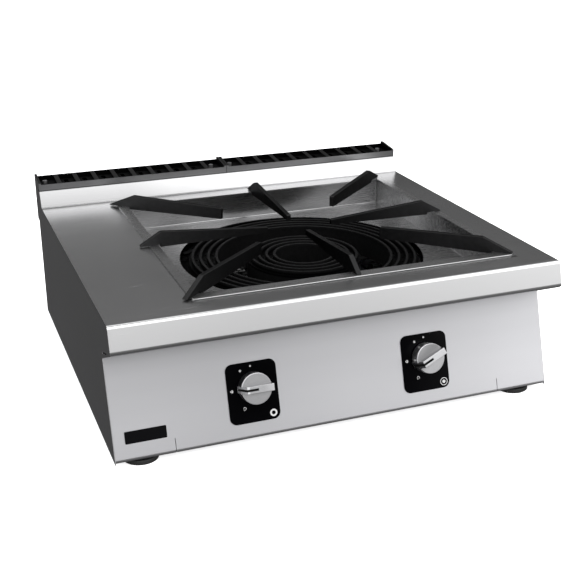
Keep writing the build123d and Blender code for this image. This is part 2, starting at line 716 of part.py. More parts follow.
# ================================================================ gas supply
with BuildPart() as gas_rail:
    with BuildSketch(Plane(origin=(-200, RAIL_Y, RAIL_Z), z_dir=(1, 0, 0))):
        Circle(10.5)
    extrude(amount=480)
    for x in (-KNOB_X, KNOB_X):
        with BuildSketch(Plane(origin=(x, RAIL_Y, RAIL_Z))):
            Circle(8.5)
        extrude(amount=13)
    with BuildSketch(Plane(origin=(-196, RAIL_Y, RAIL_Z), z_dir=(1, 0, 0))):
        Circle(8.5)
    extrude(amount=476, mode=Mode.SUBTRACT)
    for x in (-KNOB_X, KNOB_X):
        with BuildSketch(Plane(origin=(x, RAIL_Y, RAIL_Z))):
            Circle(4)
        extrude(amount=13, mode=Mode.SUBTRACT)
gas_rail.part.label = "gas_rail"
export_step(gas_rail.part, "parts/gas_rail.step")

# Inlet pipe with a threaded half-inch tail behind the rear panel.
with BuildPart() as gas_inlet_pipe:
    with BuildLine() as inlet_route:
        FilletPolyline(
            (280.05, RAIL_Y, RAIL_Z), (300, RAIL_Y, RAIL_Z), (300, 342, RAIL_Z), radius=18
        )
    with BuildSketch(Plane(origin=(280.05, RAIL_Y, RAIL_Z), z_dir=(1, 0, 0))):
        Circle(9.5)
        Circle(7.5, mode=Mode.SUBTRACT)
    sweep(path=inlet_route.line)
    with BuildSketch(Plane(origin=(300, 341, RAIL_Z), z_dir=(0, 1, 0))):
        RegularPolygon(15.5, 6)
        Circle(7.5, mode=Mode.SUBTRACT)
    extrude(amount=6.7)
    with BuildSketch(Plane(origin=(300, 347.7, RAIL_Z), z_dir=(0, 1, 0))):
        Circle(9.6)
        Circle(7.5, mode=Mode.SUBTRACT)
    extrude(amount=1.8)
    with BuildSketch(Plane(origin=(300, 349.5, RAIL_Z), z_dir=(0, 1, 0))):
        Circle(10.48)
        Circle(7.5, mode=Mode.SUBTRACT)
    extrude(amount=15)
gas_inlet_pipe.part.label = "gas_inlet_pipe"
export_step(gas_inlet_pipe.part, "parts/gas_inlet_pipe.step")

with BuildPart() as left_feed_pipe:
    with BuildLine() as left_route:
        FilletPolyline(
            (OUTER_TUBE_X, PORT_Y, TUBE_Z - 11 - SLACK), (OUTER_TUBE_X, PORT_Y, PORT_Z),
            (-KNOB_X + 25 + SLACK, PORT_Y, PORT_Z), radius=12,
        )
    with BuildSketch(Plane(origin=(OUTER_TUBE_X, PORT_Y, TUBE_Z - 11 - SLACK), z_dir=(0, 0, -1))):
        Circle(4)
        Circle(3, mode=Mode.SUBTRACT)
    sweep(path=left_route.line)
left_feed_pipe.part.label = "left_feed_pipe"
export_step(left_feed_pipe.part, "parts/left_feed_pipe.step")

with BuildPart() as right_feed_pipe:
    with BuildLine() as right_route:
        FilletPolyline(
            (INNER_TUBE_X, PORT_Y, TUBE_Z - 11 - SLACK), (INNER_TUBE_X, PORT_Y, PORT_Z),
            (KNOB_X - 25 - SLACK, PORT_Y, PORT_Z), radius=12,
        )
    with BuildSketch(Plane(origin=(INNER_TUBE_X, PORT_Y, TUBE_Z - 11 - SLACK), z_dir=(0, 0, -1))):
        Circle(4)
        Circle(3, mode=Mode.SUBTRACT)
    sweep(path=right_route.line)
right_feed_pipe.part.label = "right_feed_pipe"
export_step(right_feed_pipe.part, "parts/right_feed_pipe.step")

# ================================================================ valves
NECK_OUT, NECK_IN = 11.0, 8.6


def valve(x, side):
    """Gas valve on a knob axis. `side` points to its outlet along X."""
    with BuildPart() as body:
        with BuildSketch(control_plane(x, out=-62)):
            Circle(15)
        extrude(amount=42)
        with BuildSketch(control_plane(x, out=-20)):
            Circle(NECK_OUT)
            Circle(NECK_IN, mode=Mode.SUBTRACT)
        extrude(amount=20 - SKIN - SLACK)
        with BuildSketch(Plane(origin=(x, PORT_Y, PORT_Z), z_dir=(side, 0, 0))):
            Circle(6)
        extrude(amount=25)
        with BuildSketch(Plane(origin=(x, RAIL_Y, LEG_TOP), z_dir=(0, 0, -1))):
            Circle(7)
        extrude(amount=LEG_TOP - (RAIL_Z + 13 + SLACK))
        with BuildSketch(Plane(origin=(x, PORT_Y, PORT_Z), z_dir=(side, 0, 0))):
            Circle(3)
        extrude(amount=26, mode=Mode.SUBTRACT)
        with BuildSketch(Plane(origin=(x, RAIL_Y, RAIL_Z + 10))):
            Circle(3.5)
        extrude(amount=LEG_TOP - RAIL_Z - 10, mode=Mode.SUBTRACT)
        with BuildSketch(control_plane(x, out=-58)):
            Circle(SPINDLE_R + 0.06)
        extrude(amount=60, mode=Mode.SUBTRACT)
    return body.part


with BuildPart() as left_valve_body:
    add(valve(-KNOB_X, 1))
left_valve_body.part.label = "left_valve_body"
export_step(left_valve_body.part, "parts/left_valve_body.step")

with BuildPart() as right_valve_body:
    add(valve(KNOB_X, -1))
right_valve_body.part.label = "right_valve_body"
export_step(right_valve_body.part, "parts/right_valve_body.step")


def return_spring(x):
    """Helical return spring around the spindle, inside the valve's neck."""
    with BuildPart() as coil:
        with BuildLine() as wire:
            Helix(
                pitch=1.9, height=7.6, radius=6.3,
                center=control_plane(x, out=-19.3).origin, direction=NORMAL,
            )
        with BuildSketch(Plane(origin=wire.line @ 0, z_dir=wire.line % 0)):
            Circle(0.55)
        sweep(path=wire.line, is_frenet=True)
    return coil.part


with BuildPart() as left_valve_spring:
    add(return_spring(-KNOB_X))
left_valve_spring.part.label = "left_valve_spring"
export_step(left_valve_spring.part, "parts/left_valve_spring.step")

with BuildPart() as right_valve_spring:
    add(return_spring(KNOB_X))
right_valve_spring.part.label = "right_valve_spring"
export_step(right_valve_spring.part, "parts/right_valve_spring.step")


def thrust_washer(x):
    with BuildPart() as washer:
        with BuildSketch(control_plane(x, out=-10.7)):
            Circle(8.0)
            Circle(SPINDLE_R + 0.06, mode=Mode.SUBTRACT)
        extrude(amount=1.1)
    return washer.part


with BuildPart() as left_thrust_washer:
    add(thrust_washer(-KNOB_X))
left_thrust_washer.part.label = "left_thrust_washer"
export_step(left_thrust_washer.part, "parts/left_thrust_washer.step")

with BuildPart() as right_thrust_washer:
    add(thrust_washer(KNOB_X))
right_thrust_washer.part.label = "right_thrust_washer"
export_step(right_thrust_washer.part, "parts/right_thrust_washer.step")


def spindle(x, turn):
    """Steel spindle with a collar over the washer and a flat in the knob."""
    with BuildPart() as rod:
        with BuildSketch(control_plane(x, turn, out=-52)):
            Circle(SPINDLE_R)
        extrude(amount=71)
        with BuildSketch(control_plane(x, turn, out=-9.55)):
            Circle(5.6)
        extrude(amount=2)
        with BuildSketch(control_plane(x, turn, out=4.5)):
            with Locations((0, -4.0)):
                Rectangle(9, 2.1)
        extrude(amount=16, mode=Mode.SUBTRACT)
    return rod.part


with BuildPart() as left_spindle:
    add(spindle(-KNOB_X, LEFT_TURN))
left_spindle.part.label = "left_spindle"
export_step(left_spindle.part, "parts/left_spindle.step")

with BuildPart() as right_spindle:
    add(spindle(KNOB_X, RIGHT_TURN))
right_spindle.part.label = "right_spindle"
export_step(right_spindle.part, "parts/right_spindle.step")


def knob(x, turn):
    """Round knob with a grip bar whose pointer end ramps down."""
    with BuildPart() as grip:
        with BuildSketch(control_plane(x, turn, out=KNOB_BASE)):
            Circle(KNOB_R)
        extrude(amount=KNOB_FACE - KNOB_BASE)
        side = control_plane(x, turn)
        with BuildSketch(Plane(origin=side.origin, x_dir=side.y_dir, z_dir=side.x_dir)):
            with BuildLine():
                Polyline(
                    (-28.2, KNOB_BASE), (-28.2, KNOB_BAR), (19, KNOB_BAR),
                    (27.8, KNOB_BASE + 2.3), (27.8, KNOB_BASE), close=True,
                )
            make_face()
        extrude(amount=6.15, both=True)
        # the ramp carries on through the disc, out to its edge
        with BuildSketch(Plane(origin=side.origin, x_dir=side.y_dir, z_dir=side.x_dir)):
            with BuildLine():
                Polyline(
                    (19, KNOB_BAR), (27.8, KNOB_BASE + 2.3), (32, KNOB_BASE + 2.3),
                    (32, KNOB_BAR + 2), (19, KNOB_BAR + 2), close=True,
                )
            make_face()
        extrude(amount=6.15, both=True, mode=Mode.SUBTRACT)
        # soften the edges of the bar's crest and heel and of the disc
        rim = []
        for e in grip.edges():
            c = side.to_local_coords(e @ 0.5)
            if e.length > 8 and (
                abs(c.Z - KNOB_BAR) < 0.3
                or (c.Y < -28 and c.Z > KNOB_BASE + 0.6)
                or (abs(c.Z - KNOB_FACE) < 0.1 and e.geom_type == GeomType.CIRCLE)
            ):
                rim.append(e)
        fillet(rim, radius=0.7)
        # hollow skirt round a hub
        with BuildSketch(control_plane(x, turn, out=KNOB_BASE)):
            Circle(24.0)
            Circle(9.0, mode=Mode.SUBTRACT)
            with Locations((0, 22)):
                Rectangle(15.4, 16, mode=Mode.SUBTRACT)
        extrude(amount=15, mode=Mode.SUBTRACT)
        with BuildSketch(control_plane(x, turn, out=KNOB_BASE)):
            Circle(SPINDLE_R + 0.05)
            with Locations((0, -4.0)):
                Rectangle(9, 2.0, mode=Mode.SUBTRACT)
        extrude(amount=14.6, mode=Mode.SUBTRACT)
    return grip.part


with BuildPart() as left_knob:
    add(knob(-KNOB_X, LEFT_TURN))
left_knob.part.label = "left_knob"
export_step(left_knob.part, "parts/left_knob.step")

with BuildPart() as right_knob:
    add(knob(KNOB_X, RIGHT_TURN))
right_knob.part.label = "right_knob"
export_step(right_knob.part, "parts/right_knob.step")


def bezel(x):
    with BuildPart() as plate:
        with BuildSketch(control_plane(x, out=SLACK)):
            with Locations((0, -9)):
                RectangleRounded(88, 102, 12)
            Circle(7, mode=Mode.SUBTRACT)
        extrude(amount=2.0)
        fillet(
            plate.faces().filter_by(lambda f: f.area > 5000)
            .sort_by_distance(Vector(x, AXIS_Y - 20, AXIS_Z + 6))[0].outer_wire().edges(),
            radius=0.6,
        )
    return plate.part


with BuildPart() as left_bezel:
    add(bezel(-KNOB_X))
left_bezel.part.label = "left_bezel"
export_step(left_bezel.part, "parts/left_bezel.step")

with BuildPart() as right_bezel:
    add(bezel(KNOB_X))
right_bezel.part.label = "right_bezel"
export_step(right_bezel.part, "parts/right_bezel.step")

# Blank rating plate near the lower left corner.
with BuildPart() as blank_plate:
    with BuildSketch(control_plane(-345.9, out=SLACK)):
        with Locations((0, 36.05 - AXIS_S)):
            RectangleRounded(68.8, 20.3, 1.5)
    extrude(amount=0.8)
blank_plate.part.label = "blank_plate"
export_step(blank_plate.part, "parts/blank_plate.step")

# ================================================================ ignition
# Each ring has a pilot in the gap between the rings, on a strap that is
# fixed to the front bridge, with a spark electrode and a thermocouple.
PILOTS = {"outer": (-94.8, -53.7), "inner": (-78.0, -12.0)}
STRAP_Y = -77.0


def pilot(x, y):
    with BuildPart() as stand:
        with BuildSketch(Plane.XY.offset(BODY_BASE + 0.02)):
            with Locations((x, (STRAP_Y + y + 7) / 2)):
                Rectangle(14, y + 7 - STRAP_Y)
        extrude(amount=1.5)
        with BuildSketch(Plane.XY.offset(BODY_BASE + 0.02)):
            with Locations((x, y + 6.25)):
                Rectangle(14, 1.5)
        extrude(amount=41.5)
        with BuildSketch(Plane.XY.offset(BODY_BASE + 40)):
            with Locations((x, y)):
                Rectangle(24, 14)
            with Locations((x + 8.0, y - 1)):
                Circle(2.4, mode=Mode.SUBTRACT)
            with Locations((x - 8.0, y - 1)):
                Circle(3.3, mode=Mode.SUBTRACT)
        extrude(amount=1.5)
        # pilot jet with a small hood
        with BuildSketch(Plane.XY.offset(BODY_BASE + 22)):
            with Locations((x, y - 1)):
                Circle(3.4)
        extrude(amount=22)
        with BuildSketch(Plane.XY.offset(BODY_BASE + 41.5)):
            with Locations((x, y - 1)):
                Circle(4.2)
        extrude(amount=2.5)
    return stand.part


with BuildPart() as outer_pilot:
    add(pilot(*PILOTS["outer"]))
outer_pilot.part.label = "outer_pilot"
export_step(outer_pilot.part, "parts/outer_pilot.step")

with BuildPart() as inner_pilot:
    add(pilot(*PILOTS["inner"]))
inner_pilot.part.label = "inner_pilot"
export_step(inner_pilot.part, "parts/inner_pilot.step")

with BuildPart() as spark_electrodes:
    for x, y in PILOTS.values():
        with BuildSketch(Plane.XY.offset(BODY_BASE + 22)):
            with Locations((x - 8.0, y - 1)):
                Circle(3.1)
        extrude(amount=23)
        with BuildSketch(Plane.XY.offset(BODY_BASE + 45)):
            with Locations((x - 8.0, y - 1)):
                Circle(0.8)
        extrude(amount=3)
spark_electrodes.part.label = "spark_electrodes"
export_step(spark_electrodes.part, "parts/spark_electrodes.step")

with BuildPart() as thermocouples:
    for x, y in PILOTS.values():
        with BuildSketch(Plane.XY.offset(BODY_BASE + 20)):
            with Locations((x + 8.0, y - 1)):
                Circle(2.3)
        extrude(amount=27)
thermocouples.part.label = "thermocouples"
export_step(thermocouples.part, "parts/thermocouples.step")

# ================================================================ arms
# Cast arm: a thin foot that lies on the flange, a tongue that drops through
# a slot in it, a knee, and a long top edge that falls to the inner end.


def arm(name):
    azimuth, radius, start, end, heel, knee, length = ARMS[name]
    inner = 22.5 if radius > 400 else 11.0
    seat = RIM_TOP - TOP + SLACK
    with BuildPart() as casting:
        with BuildSketch(arm_plane(azimuth, radius)) as profile:
            with BuildLine():
                Polyline(
                    (0, seat), (0, seat + 1.7), (knee, 27), (length, inner), (length, 1), (heel, -2),
                    (heel, seat), (end, seat), (end, -24), (start, -24), (start, seat), close=True,
                )
            make_face()
            fillet(nearest(profile, knee, 27), radius=7)
            fillet(nearest(profile, length, inner), radius=3)
            fillet(nearest(profile, 0, seat + 1.7), radius=0.9)
        extrude(amount=ARM_T / 2, both=True)
        # soften the long top edges
        fillet(
            [e for e in casting.edges() if e.length > 150 and e.center().Z > TOP + 8],
            radius=0.9,
        )
    return casting.part


with BuildPart() as arm_front_left:
    add(arm("front_left"))
arm_front_left.part.label = "arm_front_left"
export_step(arm_front_left.part, "parts/arm_front_left.step")

with BuildPart() as arm_front:
    add(arm("front"))
arm_front.part.label = "arm_front"
export_step(arm_front.part, "parts/arm_front.step")

with BuildPart() as arm_front_right:
    add(arm("front_right"))
arm_front_right.part.label = "arm_front_right"
export_step(arm_front_right.part, "parts/arm_front_right.step")

with BuildPart() as arm_right:
    add(arm("right"))
arm_right.part.label = "arm_right"
export_step(arm_right.part, "parts/arm_right.step")

with BuildPart() as arm_rear_right:
    add(arm("rear_right"))
arm_rear_right.part.label = "arm_rear_right"
export_step(arm_rear_right.part, "parts/arm_rear_right.step")

with BuildPart() as arm_rear:
    add(arm("rear"))
arm_rear.part.label = "arm_rear"
export_step(arm_rear.part, "parts/arm_rear.step")

with BuildPart() as arm_rear_left:
    add(arm("rear_left"))
arm_rear_left.part.label = "arm_rear_left"
export_step(arm_rear_left.part, "parts/arm_rear_left.step")

with BuildPart() as arm_left:
    add(arm("left"))
arm_left.part.label = "arm_left"
export_step(arm_left.part, "parts/arm_left.step")

# Folded guides welded under the worktop, one round each tongue.
with BuildPart() as arm_guides:
    for azimuth, radius, start, end, *_ in ARMS.values():
        for side in (-1, 1):
            with BuildSketch(arm_plane(azimuth, radius).offset(side * (ARM_T / 2 + 1.25))):
                with Locations(((start - 2.1 + end + 2) / 2, -14.0)):
                    Rectangle(end - start + 4.1, 24.8)
            extrude(amount=0.75, both=True)
        with BuildSketch(arm_plane(azimuth, radius)):
            with Locations((start - 1.35, -14.0)):
                Rectangle(1.5, 24.8)
        extrude(amount=ARM_T / 2 + 2.0, both=True)
arm_guides.part.label = "arm_guides"
export_step(arm_guides.part, "parts/arm_guides.step")

# ================================================================ feet
with BuildPart() as foot_nuts:
    with BuildSketch(Plane.XY.offset(CASE_FLOOR + SKIN + 0.02)):
        with GridLocations(2 * FOOT_X, 2 * FOOT_Y, 2, 2):
            RegularPolygon(9.8, 6)
            Circle(5.06, mode=Mode.SUBTRACT)
    extrude(amount=8)
foot_nuts.part.label = "foot_nuts"
export_step(foot_nuts.part, "parts/foot_nuts.step")


def foot(x, y):
    """Levelling foot: a low round pad on a threaded stem."""
    with BuildPart() as pad:
        with BuildSketch(Plane.XY):
            with Locations((x, y)):
                Circle(30)
        extrude(amount=8)
        fillet(pad.faces().sort_by(Axis.Z)[-1].edges(), radius=2.0)
        with BuildSketch(Plane.XY.offset(8)):
            with Locations((x, y)):
                Circle(11)
        extrude(amount=3.6)
        with BuildSketch(Plane.XY.offset(11.6)):
            with Locations((x, y)):
                Circle(5)
        extrude(amount=18)
    return pad.part


with BuildPart() as foot_front_left:
    add(foot(-FOOT_X, -FOOT_Y))
foot_front_left.part.label = "foot_front_left"
export_step(foot_front_left.part, "parts/foot_front_left.step")

with BuildPart() as foot_front_right:
    add(foot(FOOT_X, -FOOT_Y))
foot_front_right.part.label = "foot_front_right"
export_step(foot_front_right.part, "parts/foot_front_right.step")

with BuildPart() as foot_rear_left:
    add(foot(-FOOT_X, FOOT_Y))
foot_rear_left.part.label = "foot_rear_left"
export_step(foot_rear_left.part, "parts/foot_rear_left.step")

with BuildPart() as foot_rear_right:
    add(foot(FOOT_X, FOOT_Y))
foot_rear_right.part.label = "foot_rear_right"
export_step(foot_rear_right.part, "parts/foot_rear_right.step")
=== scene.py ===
import json
import math

import bmesh
import bpy
from mathutils import Matrix, Vector


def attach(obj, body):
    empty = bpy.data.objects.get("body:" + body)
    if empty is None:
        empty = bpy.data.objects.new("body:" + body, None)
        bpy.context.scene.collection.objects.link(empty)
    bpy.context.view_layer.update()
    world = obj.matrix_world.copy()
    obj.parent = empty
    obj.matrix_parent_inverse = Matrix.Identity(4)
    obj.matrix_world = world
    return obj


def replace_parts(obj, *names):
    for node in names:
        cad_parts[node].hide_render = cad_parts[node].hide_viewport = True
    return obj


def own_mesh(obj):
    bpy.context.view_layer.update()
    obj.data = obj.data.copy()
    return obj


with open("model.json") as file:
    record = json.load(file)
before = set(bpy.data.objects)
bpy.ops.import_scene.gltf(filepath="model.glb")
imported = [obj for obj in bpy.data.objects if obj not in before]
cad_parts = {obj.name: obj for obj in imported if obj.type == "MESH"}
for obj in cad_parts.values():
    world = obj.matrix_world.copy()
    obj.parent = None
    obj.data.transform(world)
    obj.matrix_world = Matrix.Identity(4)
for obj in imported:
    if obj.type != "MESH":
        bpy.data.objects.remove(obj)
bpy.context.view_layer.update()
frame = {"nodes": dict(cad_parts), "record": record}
nodes = frame["nodes"]
MM = 0.001

# ------------------------------------------------------------------ camera
# Pinhole camera fitted to the corners of the stove, in the part's frame.
YAW, PITCH, ROLL = -20.79154, 21.185485, -0.16021
cam_data = bpy.data.cameras.new("camera")
cam = bpy.data.objects.new("camera", cam_data)
bpy.context.scene.collection.objects.link(cam)
bpy.context.scene.camera = cam
cam_data.sensor_width = 36.0
cam_data.lens = 65.263
cam_data.shift_y = -4.4 / 576
cam_data.clip_start, cam_data.clip_end = 0.05, 200.0


def camera_matrix():
    y, p, r = (math.radians(v) for v in (YAW, PITCH, ROLL))
    base = Matrix(((1, 0, 0), (0, 0, -1), (0, 1, 0)))
    rz = Matrix(((math.cos(y), -math.sin(y), 0), (math.sin(y), math.cos(y), 0), (0, 0, 1)))
    rp = Matrix(((1, 0, 0), (0, math.cos(p), -math.sin(p)), (0, math.sin(p), math.cos(p))))
    rr = Matrix(((math.cos(r), -math.sin(r), 0), (math.sin(r), math.cos(r), 0), (0, 0, 1)))
    m = rr @ rp @ base @ rz.transposed()
    right, up, back = Vector(m[0]), -Vector(m[1]), -Vector(m[2])
    out = Matrix((right, up, back)).transposed().to_4x4()
    out.translation = Vector((-0.6551, -1.7912, 0.8816))
    return out


cam.matrix_world = camera_matrix()


# ------------------------------------------------------------------ node helpers
class Graph:
    """A material with a Principled shader, and short ways to add nodes."""

    def __init__(self, name, **sockets):
        self.mat = bpy.data.materials.new(name)
        self.mat.use_nodes = True
        self.tree = self.mat.node_tree
        self.tree.nodes.clear()
        self.out = self.node("OutputMaterial")
        self.shader = self.node("BsdfPrincipled")
        self.link(self.shader.outputs[0], self.out.inputs[0])
        for key, value in sockets.items():
            self.shader.inputs[key.replace("_", " ")].default_value = value

    def node(self, kind, **props):
        n = self.tree.nodes.new("ShaderNode" + kind)
        for key, value in props.items():
            setattr(n, key, value)
        return n

    def link(self, a, b):
        self.tree.links.new(a, b)

    def put(self, value, socket):
        if isinstance(value, bpy.types.NodeSocket):
            self.link(value, socket)
        else:
            socket.default_value = value

    def coords(self, scale=(1, 1, 1), turn=(0, 0, 0), shift=(0, 0, 0)):
        tc = self.node("TexCoord")
        mp = self.node("Mapping")
        mp.inputs["Scale"].default_value = scale
        mp.inputs["Rotation"].default_value = tuple(math.radians(a) for a in turn)
        mp.inputs["Location"].default_value = shift
        self.link(tc.outputs["Object"], mp.inputs["Vector"])
        return mp.outputs[0]

    def noise(self, vector, scale, detail=3.0, rough=0.5, distort=0.0):
        n = self.node("TexNoise")
        n.inputs["Scale"].default_value = scale
        n.inputs["Detail"].default_value = detail
        n.inputs["Roughness"].default_value = rough
        n.inputs["Distortion"].default_value = distort
        self.link(vector, n.inputs["Vector"])
        return n.outputs[0]

    def voronoi(self, vector, scale, feature="F1", output="Distance", randomness=1.0):
        n = self.node("TexVoronoi", feature=feature)
        n.inputs["Scale"].default_value = scale
        n.inputs["Randomness"].default_value = randomness
        self.link(vector, n.inputs["Vector"])
        return n.outputs[output]

    def span(self, value, a, b, c, d, smooth=False):
        n = self.node("MapRange")
        if smooth:
            n.interpolation_type = "SMOOTHSTEP"
        self.link(value, n.inputs[0])
        for i, v in enumerate((a, b, c, d)):
            n.inputs[1 + i].default_value = v
        return n.outputs[0]

    def math(self, op, a, b=0.0, clamp=False):
        n = self.node("Math", operation=op, use_clamp=clamp)
        self.put(a, n.inputs[0])
        self.put(b, n.inputs[1])
        return n.outputs[0]

    def mix(self, factor, a, b):
        n = self.node("Mix", data_type="RGBA")
        self.put(factor, n.inputs[0])
        self.put(a if isinstance(a, bpy.types.NodeSocket) else (*a, 1), n.inputs[6])
        self.put(b if isinstance(b, bpy.types.NodeSocket) else (*b, 1), n.inputs[7])
        return n.outputs[2]

    def bump(self, height, strength, distance, normal=None):
        n = self.node("Bump")
        n.inputs["Strength"].default_value = strength
        n.inputs["Distance"].default_value = distance
        self.link(height, n.inputs["Height"])
        if normal is not None:
            self.link(normal, n.inputs["Normal"])
        return n.outputs[0]

    def xyz(self, vector):
        n = self.node("SeparateXYZ")
        self.link(vector, n.inputs[0])
        return n.outputs

    def facing(self):
        """Components of the surface normal in the shared frame."""
        n = self.node("NewGeometry")
        return self.xyz(n.outputs["Normal"])

    def curve(self, value, *stops):
        """A smooth grey curve through (position, factor) stops."""
        first, last = stops[0][0], stops[-1][0]
        n = self.node("ValToRGB")
        n.color_ramp.interpolation = "CARDINAL"
        el = n.color_ramp.elements
        while len(el) < len(stops):
            el.new(0.5)
        for e, (at, grey) in zip(el, stops):
            e.position = (at - first) / (last - first)
            e.color = (grey / 2, grey / 2, grey / 2, 1)
        self.link(self.span(value, first, last, 0.0, 1.0), n.inputs[0])
        return self.math("MULTIPLY", n.outputs[0], 2.0)

    def blend(self, factor, a, b):
        n = self.node("Mix", data_type="FLOAT")
        self.put(factor, n.inputs[0])
        self.put(a, n.inputs[2])
        self.put(b, n.inputs[3])
        return n.outputs[0]

    def times(self, colour, factor):
        """A colour multiplied by a grey factor."""
        n = self.node("VectorMath", operation="SCALE")
        self.put(colour, n.inputs[0])
        self.put(factor, n.inputs["Scale"])
        return n.outputs[0]

    def color(self, socket):
        self.link(socket, self.shader.inputs["Base Color"])

    def specular(self, socket):
        self.link(socket, self.shader.inputs["Specular IOR Level"])

    def roughness(self, socket):
        self.link(socket, self.shader.inputs["Roughness"])

    def normal(self, socket):
        self.link(socket, self.shader.inputs["Normal"])


def brushed(name, tone, rough, grain=(1.0, 1.0, 1.0), fine=2600.0, length=8.0,
            depth=0.006, cloud=0.006, turn=(0, 0, 0), tint=None, metal=1.0):
    """Brushed sheet steel: long fine grain, clouded sheen, faint wipe marks.
    `grain` has a small value on the axis that the grain runs along. `tint`
    takes the graph and gives back a grey factor for the base colour; `metal`
    below 1, or as a function of the graph, is a duller, dustier sheet."""
    g = Graph(name, Metallic=1.0)
    g.put(metal(g) if callable(metal) else metal, g.shader.inputs["Metallic"])
    scale = tuple(length if k < 1 else fine for k in grain)
    line = g.noise(g.coords(scale, turn), 1.0, 3.0, 0.55)
    broad = g.noise(g.coords(tuple(s * 0.22 for s in scale), turn, (3, 1, 7)), 1.0, 2.0, 0.5)
    patch = g.noise(g.coords((1, 1, 1)), 5.0, 3.0, 0.55, 0.3)
    wipe = g.noise(g.coords((22, 60, 60), (0, 0, 24)), 1.0, 2.0, 0.5, 0.6)
    dark = tuple(c * (1 - cloud * 1.6) for c in tone)
    lite = tuple(min(1.0, c * (1 + cloud)) for c in tone)
    streak = g.math("ADD", g.math("MULTIPLY", line, 0.8), g.math("MULTIPLY", broad, 0.2))
    base = g.mix(g.span(streak, 0.3, 0.7, 0.0, 1.0), dark, lite)
    base = g.mix(g.span(patch, 0.35, 0.7, 0.0, 0.35), base, dark)
    if tint is not None:
        base = g.times(base, tint(g))
    g.color(base)
    r = g.span(streak, 0.3, 0.7, rough - 0.014, rough + 0.016)
    r = g.math("ADD", r, g.span(patch, 0.3, 0.7, -0.006, 0.010))
    r = g.math("ADD", r, g.span(wipe, 0.35, 0.65, -0.003, 0.005))
    g.roughness(r)
    g.normal(g.bump(streak, depth, 0.0002))
    return g.mat


def cast_iron(name, tone, rough, pit=900.0, wear=None, top=None, shine=0.38, faces=None):
    """Enamelled or bare casting: sand texture, soft lumps and pits. `top` is
    (foot height, crest height, bore radius, groove tone): below its crests the
    casting takes the groove tone, sooty and painted shade, and inside its bore it is painted lighter again."""
    g = Graph(name, Metallic=0.0)
    g.shader.inputs["Specular IOR Level"].default_value = shine
    at = g.coords()
    sand = g.noise(at, pit, 5.0, 0.65)
    lump = g.noise(at, pit * 0.16, 3.0, 0.5)
    pits = g.voronoi(at, pit * 0.55)
    worn = g.span(pits, 0.05, 0.28, 0.0, 1.0, True)
    body = g.mix(g.span(lump, 0.3, 0.75, 0.0, 1.0), tuple(c * 0.78 for c in tone), tuple(c * 1.25 for c in tone))
    if wear is not None:
        bare = g.node("Bevel", samples=6)
        bare.inputs["Radius"].default_value = 0.0012
        geo = g.node("NewGeometry")
        dot = g.node("VectorMath", operation="DOT_PRODUCT")
        g.link(bare.outputs[0], dot.inputs[0])
        g.link(geo.outputs["Normal"], dot.inputs[1])
        edge = g.span(dot.outputs["Value"], 0.985, 0.86, 0.0, 1.0)
        scuff = g.span(g.noise(at, 120.0, 4.0, 0.6), 0.45, 0.7, 0.0, 1.0)
        body = g.mix(g.math("MULTIPLY", edge, scuff, True), body, wear)
    if top is not None:
        foot, crest, bore, soot_and_shade = top
        x, y, z = g.xyz(at)
        dx = g.math("SUBTRACT", x, BURNER[0])
        dy = g.math("SUBTRACT", y, BURNER[1])
        reach = g.math("SQRT", g.math("ADD", g.math("MULTIPLY", dx, dx), g.math("MULTIPLY", dy, dy)))
        # painted light on the bore's inner wall
        inside = g.span(reach, bore + 0.0005, bore - 0.0005, 0.0, 0.55, True)
        crest_and_bore = g.math("MAXIMUM", g.span(z, foot, crest, 0.0, 1.0, True), inside)
        body = g.mix(crest_and_bore, soot_and_shade, body)
        g.specular(g.span(crest_and_bore, 0.0, 1.0, 0.03, shine))
    # `faces` paints light and shade by face direction and place
    if faces is not None:
        share = faces(g)
        body = g.times(body, share)
        g.specular(g.math("MULTIPLY", share, shine))
    g.color(body)
    r = g.span(sand, 0.3, 0.7, rough - 0.06, rough + 0.08)
    g.roughness(g.math("ADD", r, g.span(lump, 0.3, 0.7, -0.04, 0.03)))
    height = g.math("ADD", g.math("MULTIPLY", sand, 0.6), g.math("MULTIPLY", worn, 0.25))
    height = g.math("ADD", height, g.math("MULTIPLY", lump, 0.5))
    g.normal(g.bump(height, 0.35, 0.0004))
    return g.mat


def paint(name, tone, rough, metallic=0.0, coat=0.0, peel=420.0, depth=0.05, shine=0.5):
    """Painted, enamelled or moulded surface with a slight orange peel."""
    g = Graph(name, Metallic=metallic)
    if callable(shine):
        g.specular(shine(g))
    else:
        g.shader.inputs["Specular IOR Level"].default_value = shine
    if coat:
        g.shader.inputs["Coat Weight"].default_value = coat
        g.shader.inputs["Coat Roughness"].default_value = 0.06
    at = g.coords()
    skin = g.noise(at, peel, 3.0, 0.5)
    dust = g.noise(at, 2600.0, 2.0, 0.6)
    haze = g.noise(at, 16.0, 3.0, 0.5, 0.3)
    g.color(g.mix(g.span(haze, 0.3, 0.7, 0.0, 1.0), tuple(c * 0.88 for c in tone),
                  tuple(min(1.0, c * 1.14) for c in tone)))
    r = g.span(dust, 0.3, 0.7, rough - 0.03, rough + 0.04)
    g.roughness(g.math("ADD", r, g.span(haze, 0.3, 0.7, -0.02, 0.03)))
    g.normal(g.bump(skin, depth, 0.0002))
    return g.mat


def turned(name, tone, rough, scale=1700.0, depth=0.08, spread=0.05, tint=None):
    """Machined or drawn metal with short random tool marks."""
    g = Graph(name, Metallic=1.0)
    at = g.coords()
    fine = g.noise(at, scale, 4.0, 0.6)
    soft = g.noise(at, scale * 0.05, 3.0, 0.5)
    both = g.math("ADD", g.math("MULTIPLY", fine, 0.5), g.math("MULTIPLY", soft, 0.5))
    base = g.mix(g.span(both, 0.35, 0.65, 0.0, 1.0), tuple(c * (1 - spread) for c in tone),
                 tuple(min(1.0, c * (1 + spread)) for c in tone))
    if tint is not None:
        base = g.times(base, tint(g))
    g.color(base)
    g.roughness(g.span(fine, 0.3, 0.7, rough - 0.04, rough + 0.05))
    g.normal(g.bump(fine, depth, 0.0001))
    return g.mat


